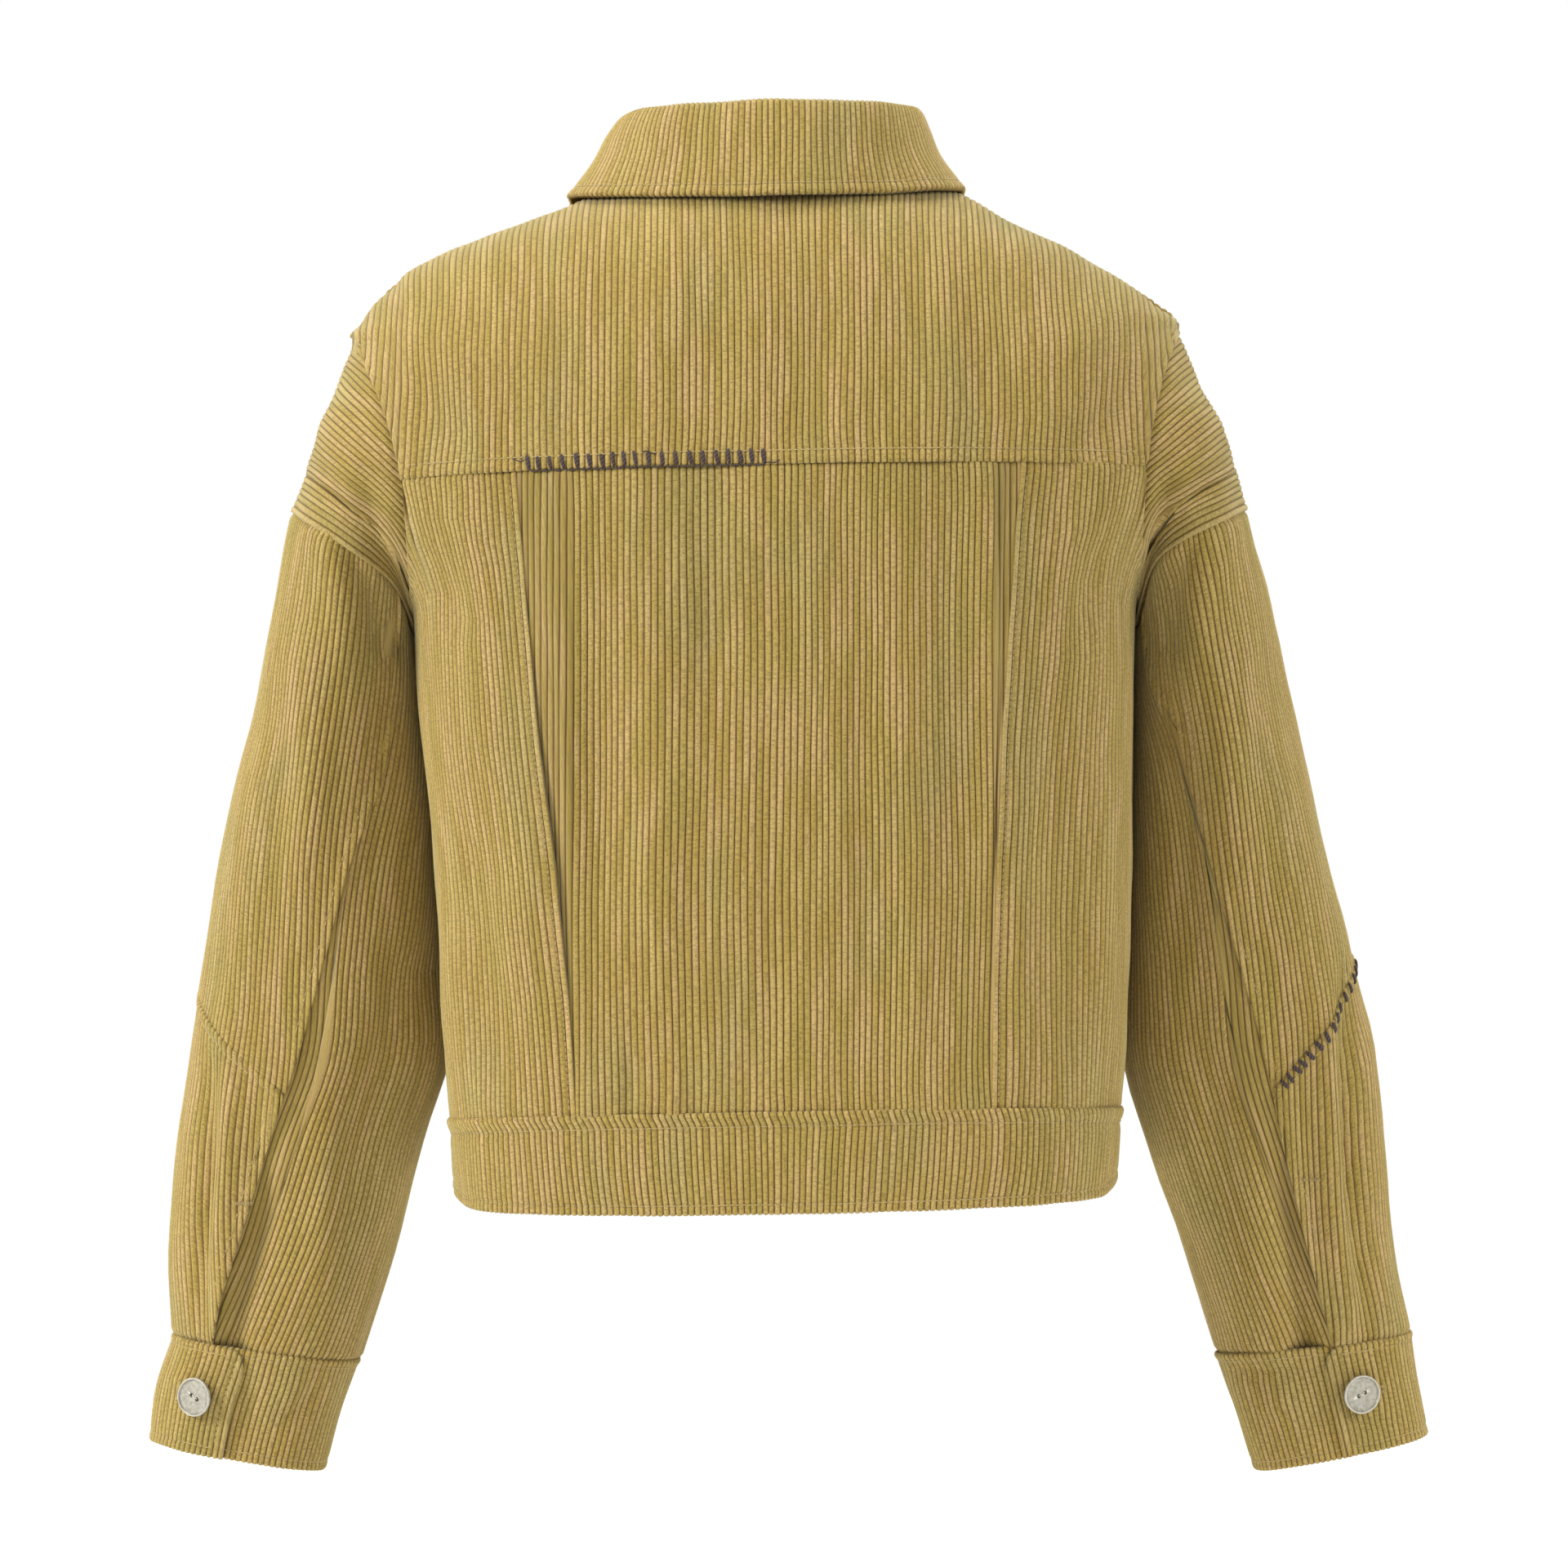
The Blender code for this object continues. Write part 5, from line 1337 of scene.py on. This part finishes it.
def normal_at(form, u, v):
    """Point and unit normal of a form, along du x dv."""
    here = form(u, v)
    way = np.cross(form(u + 0.01, v) - form(u - 0.01, v), form(u, v + 0.01) - form(u, v - 0.01))
    return here, way / np.linalg.norm(way)


pewter = pewter_finish()
sewn_on, buttonholes = [], []
for number, ring in enumerate(FRONT_BUTTON_RINGS + (WAISTBAND_BUTTON_RING,), start=1):
    point, normal = normal_at(lambda angle, at: trunk_at_angle(at, angle), math.pi, ring)
    name = "waistband_button" if ring < WAIST_SEAM else f"front_button_{number}"
    holes_way = (1.0, 0.0, HOLES_TURNING * (number % 3 - 1))
    sewn_on.append(turn_button(name, point + LAP_RISE * normal, normal, holes_way, pewter))
    across = np.linspace(*BUTTONHOLE, BUTTONHOLE_POINTS)
    slot_line = np.stack([-across, 0 * across, 0 * across], axis=-1) + point
    facing = np.tile(normal, (BUTTONHOLE_POINTS, 1))
    buttonholes.append((slot_line + (LAP_RISE + BUTTONHOLE_RISE) * normal, facing))
for side, word in ((-1, "left"), (1, "right")):
    spot = CUFF_BUTTON[side]
    turn = math.radians(spot.turn)

    def cuff_form(height, turn, side=side):
        return cuff_at(side, height, turn)

    point, normal = normal_at(cuff_form, spot.height, turn)
    hanging = unit(-side * normal + BUTTON_TILT * np.array([side, 0.0, 0.0]))
    sewn_on.append(turn_button(
        "cuff_button_" + word, point - CUFF_BUTTON_RISE * side * normal, hanging, spot.holes_way, pewter))
    across = np.radians(np.linspace(*CUFF_BUTTONHOLE, BUTTONHOLE_POINTS))
    slot_line, facing = zip(*(normal_at(cuff_form, spot.height, turn + more) for more in across))
    facing = -side * np.array(facing)
    buttonholes.append((np.array(slot_line) + BUTTONHOLE_RISE * facing, facing))


# Topstitching in gold thread: rows of short stitches sunk into every turned or lapped
# edge, close purl stitches round the buttonholes and across the tops of the sleeve
# vents, and the thread that holds the buttons.
STITCH_PITCH, STITCH_SHARE, THREAD_ACROSS, THREAD_TALL = 3.2, 0.86, 0.75, 0.55
THREAD_RISE, THREAD_DIP = 0.32, 0.45
PURL_PITCH, PURL_LENGTH, PURL_GAP = 0.75, 2.0, 0.35
PURL_ACROSS, PURL_TALL, PURL_DIP = 0.62, 0.75, 0.5
END_BARS, END_BAR_HALF, END_BAR_RISE = (0.0, 0.7), 2.1, 0.25
TIE_ACROSS, TIE_TALL = 0.95, 0.7
THREAD_FACETS = (5, 4)                        # round and along one stitch
BARTACK_BARS, BARTACK_HALF, BARTACK_RISE = 13, 1.1, 1.0
BARTACKS = (   # side, from and to across the seam, height
    (-1, -279.4, -270.4, -529.4),
    (1, 272.0, 280.6, -517.2),
)


def seam_lines(laid, edge, distance, columns=None, clear=2.5, blur=9):
    """Lines on a piece at a distance from its foot (0), head (1), first (2) or last (3)
    edge, with their normals, kept clear of its other edges."""
    stacks = [laid.points, laid.normals, laid.away]
    if columns is not None:
        stacks = [stack[columns] for stack in stacks]
    if edge > 1:
        stacks = [stack.swapaxes(0, 1) for stack in stacks]
    if edge % 2:
        stacks = [stack[:, ::-1] for stack in stacks]
    reach = stacks[2][..., edge]
    below = np.clip((reach < distance).sum(axis=1) - 1, 0, reach.shape[1] - 2)
    rows = np.arange(len(reach))
    low, high = reach[rows, below], reach[rows, below + 1]
    share = (distance - low) / np.where(high > low, high - low, 1)
    place, facing, off = (
        stack[rows, below] * (1 - share[:, None]) + stack[rows, below + 1] * share[:, None]
        for stack in stacks)
    off[:, edge] = 1e3
    kept = (share >= -3) & (share <= 1) & (high < 500) & (off.min(axis=1) > clear)
    place, facing = place[kept], facing[kept]
    breaks = np.flatnonzero(np.linalg.norm(np.diff(place, axis=0), axis=1) > 14) + 1
    lines = []
    for points, normals in zip(np.split(place, breaks), np.split(facing, breaks)):
        if len(points) > blur + 4:
            evened = []
            for values in (points, normals):
                padded = np.concatenate([np.repeat(values[:1], blur // 2, 0), values, np.repeat(
                    values[-1:], blur // 2, 0)])
                total = np.cumsum(np.concatenate([np.zeros((1, 3)), padded]), axis=0)
                evened.append((total[blur:] - total[:-blur]) / blur)
            lines.append((evened[0][blur // 2:-blur // 2], unit(evened[1][blur // 2:-blur // 2])))
    return lines


def along_line(line, places):
    """Points and normals of a line at distances from its start."""
    run = run_of(line[0])
    return tuple(points_at(places, run, values) for values in line)


def row_of_stitches(line, pitch=STITCH_PITCH, share=STITCH_SHARE):
    count = int(run_of(line[0])[-1] // pitch)
    places = (np.arange(count)[:, None] + 0.5 + share * np.linspace(-0.5, 0.5, 5)) * pitch
    return along_line(line, places)


def sew(name, middles, facings, across, tall, dip, finish, facets=THREAD_FACETS):
    """Makes stitches, each a plump thread along five points of the cloth with its ends
    dipping into it."""
    count = len(middles)
    side_count = math.ceil(math.sqrt(count))
    mesh = bmesh.new()
    bmesh.ops.create_uvsphere(mesh, u_segments=facets[0], v_segments=facets[1], radius=0.49)
    bmesh.ops.rotate(mesh, verts=mesh.verts, cent=(0, 0, 0), matrix=Matrix.Rotation(math.pi / 2, 3, "Y"))
    bmesh.ops.translate(mesh, verts=mesh.verts, vec=(0.5, 0, 0))
    for step in (1, side_count):
        bmesh.ops.spin(mesh, geom=mesh.verts[:] + mesh.edges[:] + mesh.faces[:], cent=(0, 0, 0),
                       axis=(0, 0, 1), dvec=(step, 0, 0), angle=0, steps=side_count - 1, use_duplicate=True)
    spare = [vertex for vertex in mesh.verts if vertex.co.x > count]
    bmesh.ops.delete(mesh, geom=spare, context="VERTS")
    data = bpy.data.meshes.new(name)
    mesh.to_mesh(data)
    mesh.free()
    at = mesh_array(data.vertices, "co", np.float32, 3).reshape(-1, 3).astype(float)
    number = np.clip(np.floor(at[:, 0]).astype(int), 0, count - 1)
    share = np.clip((at[:, 0] - number - 0.01) / 0.98, 0, 1)
    plump = np.maximum(1 - (2 * share - 1) ** 2, 1e-3) ** -0.25
    low = np.minimum((share * 4).astype(int), 3)
    part = (share * 4 - low)[:, None]
    place = middles[number, low] * (1 - part) + middles[number, low + 1] * part
    facing = unit(facings[number, low] * (1 - part) + facings[number, low + 1] * part)
    beside = unit(np.cross(facing, middles[number, 4] - middles[number, 0]))
    wide, high = np.broadcast_to(across, count)[number], np.broadcast_to(tall, count)[number]
    place = place + beside * (at[:, 1] * plump * wide)[:, None] + facing * (
        at[:, 2] * plump * high - dip * (2 * share - 1) ** 4)[:, None]
    data.vertices.foreach_set("co", (place * MM).astype(np.float32).ravel())
    twist = data.uv_layers.new(name="twist")
    corners = mesh_array(data.loops, "vertex_index", np.int32)
    length = np.linalg.norm(middles[:, 4] - middles[:, 0], axis=-1)
    around = np.arctan2(at[:, 1], at[:, 2]) / math.tau
    strand = np.stack([share * length[number] + number * 3.7, around], axis=-1)
    twist.data.foreach_set("uv", strand[corners].astype(np.float32).ravel())
    data.materials.append(finish)
    data.update()
    data.shade_smooth()
    stitches = bpy.data.objects.new(name, data)
    scene.collection.objects.link(stitches)
    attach(stitches, "root")
    return stitches


def thread_finish(name, light, groove_shade, twists, **constants):
    """Twisted thread, darkened between its strands by painted shade, uneven along its length."""
    thread = Finish(name, **constants)
    along, round_it = thread.axes("twist")
    turns = along * twists + round_it * (2 * math.tau)
    strands = turns.worked("SINE", turns) * 0.5 + 0.5
    fibres = thread.noise(thread.vector(along * 3.0, round_it * 9.0), detail=3.0, rough=0.7)
    # Painted shade: the colour goes from the strand colour to a darker one in the grooves between strands.
    tone = thread.mix(thread.stretch(strands + (fibres - 0.5) * 0.8, 0.0, 0.9), groove_shade, light)
    thread.set("Base Color", tone)
    thread.bump(0.5, 0.0002, strands + fibres * 0.4)
    return thread.material


# The second colour of each thread is painted shade between its strands.
gold_thread = thread_finish("gold thread", (0.57, 0.43, 0.16, 1), (0.31, 0.22, 0.07, 1), 5.0,
                            Roughness=0.6, Sheen_Weight=0.2)
lapped_foot = np.array([foot <= YOKE_SEAM + 0.01 for foot in yoke_feet])
topstitched = [(yoke_laid, 0, LAPPED.stitch, lapped_foot)] + lapped_seams
topstitched += [(leaf_laid, edge, LEAF_EDGE.stitch, None) for edge in (1, 2, 3)]
topstitched += [(band_laid, 1, BAND_TOP.stitch, None)]
topstitched += [(band_laid, edge, BAND_FOOT.stitch, None) for edge in (0, 2, 3)]
for side in (-1, 1):
    topstitched += [
        (side_laid[side], 2, RIDGE.stitch, None),
        (front_laid[side], 2, FRONT_EDGE.stitch, None),
        (cap_laid[side], 2, CAP_EDGE.stitch, None),
        (cuff_laid[side], 0, CUFF_TOP.stitch, None),
        (cuff_laid[side], 1, CUFF_FOOT.stitch, None),
        (cuff_laid[side], 3, TAB_EDGE.stitch, None),
    ]
rows = [row_of_stitches(line) for laid, edge, distance, columns in topstitched
        for line in seam_lines(laid, edge, distance, columns, blur=9 if edge < 2 else 3)]
sew("topstitching", np.concatenate([row[0] + THREAD_RISE * row[1] for row in rows]),
    np.concatenate([row[1] for row in rows]), THREAD_ACROSS, THREAD_TALL, THREAD_DIP, gold_thread)

purl_middles, purl_facings = [], []
for line in buttonholes:
    run = run_of(line[0])[-1]
    points, facings = along_line(line, np.arange(0.5, run, PURL_PITCH))
    way = unit(np.gradient(points, axis=0))
    beside = unit(np.cross(facings, way))
    for lip in (-1, 1):
        spread_out = (lip * (PURL_GAP + PURL_LENGTH * np.linspace(0, 1, 5)))[None, :, None]
        purl_middles.append(points[:, None] + beside[:, None] * spread_out)
        purl_facings.append(np.repeat(facings[:, None], 5, axis=1))
    for end, inward in ((0, 1), (-1, -1)):
        for step in END_BARS:
            over = np.linspace(-END_BAR_HALF, END_BAR_HALF, 5)[:, None]
            bar = points[end] + way[end] * inward * step + beside[end] * over
            purl_middles.append((bar + END_BAR_RISE * facings[end])[None])
            purl_facings.append(np.repeat(facings[end][None], 5, axis=0)[None])
for side, inner, outer, z in BARTACKS:
    cloth = lower_laid[side]
    behind = np.where(cloth.normals[..., 1] < 0, 0.0, 1e3)
    for x in np.linspace(inner, outer, BARTACK_BARS):
        away = np.hypot(cloth.points[..., 0] - x, cloth.points[..., 2] - z) + behind
        spot = np.unravel_index(away.argmin(), away.shape)
        facing = cloth.normals[spot]
        along = np.linspace(-BARTACK_HALF, BARTACK_HALF, 5)[:, None]
        tall = unit(np.cross(facing, (1.0, 0.0, 0.0))) * along
        middle = np.array([x, cloth.points[spot][1], z])
        purl_middles.append((middle + tall + BARTACK_RISE * facing)[None])
        purl_facings.append(np.repeat(facing[None], 5, axis=0)[None])
sew("buttonhole_stitching", np.concatenate(purl_middles), np.concatenate(purl_facings), PURL_ACROSS,
    PURL_TALL, PURL_DIP, gold_thread)
# Its second colour is painted shade between the strands.
pale_thread = thread_finish("pale thread", (0.72, 0.70, 0.60, 1), (0.40, 0.38, 0.30, 1), 5.0, Roughness=0.6)
tie_middles, tie_facings = (np.array(values) for values in zip(*sewn_on))
sew("button_thread", tie_middles, tie_facings, TIE_ACROSS, TIE_TALL, 0.0, pale_thread)


# Hand mending in thick brown yarn: a row of blanket stitches over the yoke's lapped edge,
# left of the middle, and a row across the elbow seam of the right sleeve.
YOKE_MENDS = (   # places from the middle of the back
    -122.6, -117.6, -111.7, -105.4, -98.3, -92.0, -85.7, -80.2, -74.8, -69.3, -62.6, -55.9, -49.1, -42.0,
    -35.7, -29.0, -23.1, -17.2, -11.8, -5.9,
)
ELBOW_MENDS = (   # heights below the neck
    -401.2, -405.8, -411.2, -416.7, -421.3, -426.4, -431.8, -436.8, -441.4, -446.5, -451.5, -456.5, -461.1,
    -466.2, -471.6,
)
MEND_ACROSS, MEND_TALL = 2.3, 1.5
MEND_FACETS, MEND_DIP = (9, 8), 0.7
YOKE_MEND_RISE, ELBOW_MEND_RISE = 0.8, 1.35
LINK_RISE, LINK_ACROSS = 0.2, 0.75            # of the yarn from one stitch to the next
TRAIL_RISE, TRAIL_ACROSS = 0.35, 0.7
YARN_TRAILS = (   # loose ends: places from the middle of the back, heights above the edge
    ((-131.0, 4.9), (-129.4, 4.4), (-127.6, 3.6), (-125.6, 3.4), (-123.4, 4.6)),
    ((-6.0, -0.3), (-3.2, 0.3), (-0.4, 0.0), (1.6, 0.8), (3.0, 1.9)),
    ((-66.0, 5.4), (-64.0, 5.9), (-62.0, 5.2), (-60.4, 4.6), (-58.8, 4.4)),
)
MENDS_APART = np.array([7.0, 4.7])            # at most and at least, across the elbow seam
# Its second colour is painted shade between the strands.
brown_yarn = thread_finish("brown yarn", (0.085, 0.050, 0.042, 1), (0.022, 0.012, 0.010, 1), 3.2,
                           Roughness=0.85, Sheen_Weight=0.15)
yoke_edge, = seam_lines(yoke_laid, 0, 0.3, lapped_foot)
yoke_inside, = seam_lines(yoke_laid, 0, 6.3, lapped_foot)


def on_yoke(x, height):
    """Point and normal near the yoke's lower edge, at a distance from the middle and a
    height above the edge."""
    low, high = (
        [points_at(x, line[0][:, 0], values) for values in line] for line in (yoke_edge, yoke_inside))
    share = np.asarray(height)[..., None] / 6.0
    return low[0] + (high[0] - low[0]) * share, unit(low[1] + (high[1] - low[1]) * share)


random = np.random.default_rng(5)
climb = np.linspace(0, 1, 5)
mends, facings, widths = [], [], []
for number, x in enumerate(YOKE_MENDS):
    tilt, tall = 1.3 + random.uniform(-0.5, 0.4), 6.2 + random.uniform(-0.5, 0.5)
    place, facing = on_yoke(x + tilt * (0.5 - climb), tall * climb - 0.4)
    mends.append(place + YOKE_MEND_RISE * facing)
    facings.append(facing)
    widths.append(MEND_ACROSS + random.uniform(-0.2, 0.35))
    if number + 1 < len(YOKE_MENDS):
        gap = YOKE_MENDS[number + 1] - x
        place, facing = on_yoke(x + 0.8 + gap * climb, -0.5 - 0.35 * np.sin(math.pi * climb))
        mends.append(place + LINK_RISE * facing)
        facings.append(facing)
        widths.append(LINK_ACROSS)
for trail in YARN_TRAILS:
    x, height = np.array(trail).T
    place, facing = on_yoke(x, height)
    mends.append(place + TRAIL_RISE * facing)
    facings.append(facing)
    widths.append(TRAIL_ACROSS)
elbow_edge, = seam_lines(lower_laid[1], 0, 0.2, elbow_columns, clear=0.0)
elbow_inside, = seam_lines(lower_laid[1], 0, 4.6, elbow_columns, clear=0.0)
edge_run, inside_run = run_of(elbow_edge[0]), run_of(elbow_inside[0])
first_behind = np.flatnonzero(elbow_edge[1][:, 1] < 0.1)[0]
falling = np.maximum.accumulate(-elbow_edge[0][first_behind:, 2])
elbow_places = np.interp(-np.array(ELBOW_MENDS), falling, edge_run[first_behind:])
for number in range(len(elbow_places) - 2, -1, -1):
    elbow_places[number] = np.clip(elbow_places[number], *(elbow_places[number + 1] - MENDS_APART))
for place in elbow_places + random.uniform(-0.4, 0.4, len(elbow_places)):
    start, start_facing = along_line(elbow_edge, place)
    nearest = np.linalg.norm(elbow_inside[0] - start, axis=1).argmin()
    end, end_facing = along_line(elbow_inside, inside_run[nearest] + random.uniform(-0.5, 0.9))
    share = np.linspace(-0.3, 1.1, 5)[:, None]
    facing = unit(start_facing + (end_facing - start_facing) * share)
    mends.append(start + (end - start) * share + ELBOW_MEND_RISE * facing)
    facings.append(facing)
    widths.append(MEND_ACROSS + random.uniform(-0.1, 0.3))
sew("brown_mending", np.array(mends), np.array(facings), np.array(widths), MEND_TALL, MEND_DIP, brown_yarn,
    MEND_FACETS)
